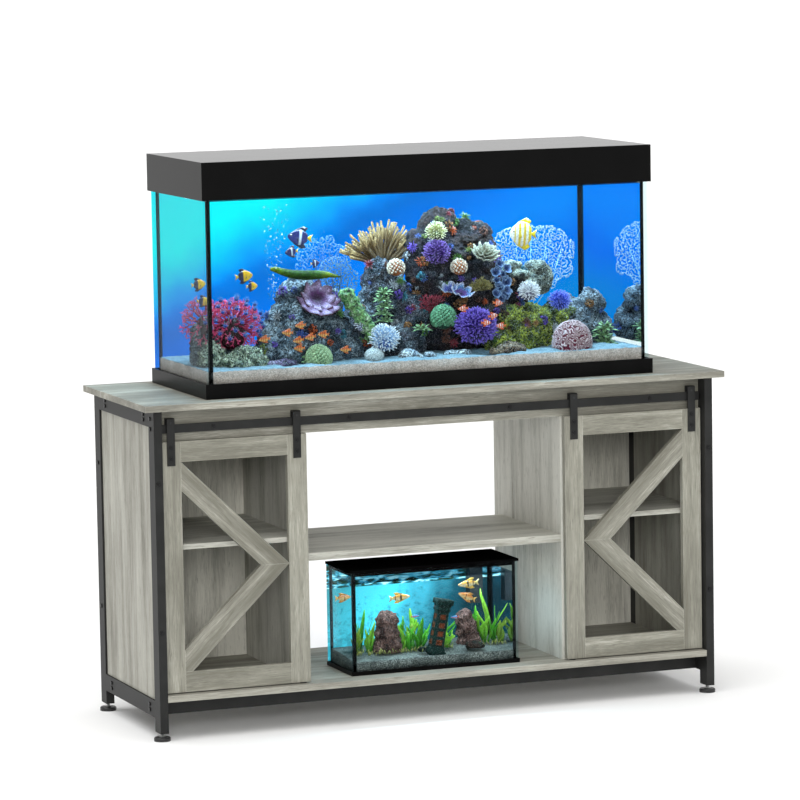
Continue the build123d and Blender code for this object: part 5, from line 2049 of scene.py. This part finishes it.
# ------------------------------------------------------------------ studio
@dataclass
class Studio:
    """A pale floor, soft light and the camera."""

    place: Point = (-3.7792, -9.7958, 1.9892)
    yaw: float = 0.367
    pitch: float = 0.1186
    roll: float = -0.0168
    lens: float = 197.24
    floor_half: float = 150.0
    surround: float = 0.61  # how bright the white round the scene is overhead
    rim: float = 1.0  # and at its rim
    rim_heights: tuple[float, float] = (0.0, 0.15)

    def build(self) -> None:
        """Make the floor, the lights and the camera."""
        self.build_floor()
        self.build_lights()
        self.build_camera()

    def build_floor(self) -> None:
        """A large pale floor."""
        half = self.floor_half
        mesh = bpy.data.meshes.new("floor")
        corners = [(-half, -half, 0), (half, -half, 0), (half, half, 0), (-half, half, 0)]
        mesh.from_pydata(corners, [], [(0, 1, 2, 3)])
        paint = bpy.data.materials.new("matt_studio_paint")
        paint.use_nodes = True
        paint.node_tree.nodes.clear()
        matt = add_node(paint.node_tree, "BsdfDiffuse", {"Color": (0.9, 0.9, 0.895, 1.0)})
        add_node(paint.node_tree, "OutputMaterial", {"Surface": matt})
        mesh.materials.append(paint)
        linked("floor", mesh)

    def build_lights(self) -> None:
        """A white surround, a soft light overhead and one from the front."""
        world = bpy.data.worlds.new("studio")
        bpy.context.scene.world = world
        world.use_nodes = True
        sky = world.node_tree
        way = add_node(sky, "SeparateXYZ", {0: add_node(sky, "TexCoord").outputs["Generated"]}).outputs["Z"]
        low_rim, high_rim = self.rim_heights
        heights = {"From Min": low_rim, "From Max": high_rim, "To Min": self.rim, "To Max": self.surround}
        fade = add_node(sky, "MapRange", {"Value": way, **heights})
        shell = sky.nodes["Background"]
        shell.inputs["Color"].default_value = WHITE
        sky.links.new(fade.outputs[0], shell.inputs["Strength"])
        for name, spot, strength, angle in (
            ("overhead_light", Vector((-1.2, -1.0, 6.0)), 1.9, 60.0),
            ("front_light", Vector((-2.2, -6.5, 2.0)), 1.45, 22.0),
        ):
            holder = add_light(name, "SUN", energy=strength, angle=math.radians(angle))
            holder.location = spot
            holder.visible_glossy = name == "overhead_light"
            holder.rotation_mode = "QUATERNION"
            holder.rotation_quaternion = (-spot).to_track_quat("-Z", "Y")

    def build_camera(self) -> None:
        """A long lens, high to the left and rolled a little."""
        forward = Vector((
            math.sin(self.yaw) * math.cos(self.pitch),
            math.cos(self.yaw) * math.cos(self.pitch),
            -math.sin(self.pitch),
        ))
        right = Vector((math.cos(self.yaw), -math.sin(self.yaw), 0.0))
        above = right.cross(forward)
        across = right * math.cos(self.roll) + above * math.sin(self.roll)
        upward = above * math.cos(self.roll) - right * math.sin(self.roll)
        data = bpy.data.cameras.new("camera")
        data.sensor_width = 36.0
        data.lens = self.lens
        data.clip_end = 500.0
        camera = linked("camera", data)
        turned = Matrix((across, upward, -forward)).transposed().to_4x4()
        camera.matrix_world = Matrix.Translation(Vector(self.place)) @ turned
        bpy.context.scene.camera = camera


def main() -> None:
    """Build the studio, then the stand and both tanks."""
    logging.basicConfig(level=logging.INFO, format="%(name)s: %(message)s", stream=sys.stdout)
    scene = bpy.context.scene
    scene.view_settings.view_transform = "Standard"
    scene.cycles.transparent_max_bounces = 24
    Studio().build()
    Stand().build()
    MainTank().build()
    SmallTank().build()


if __name__ == "__main__":
    main()
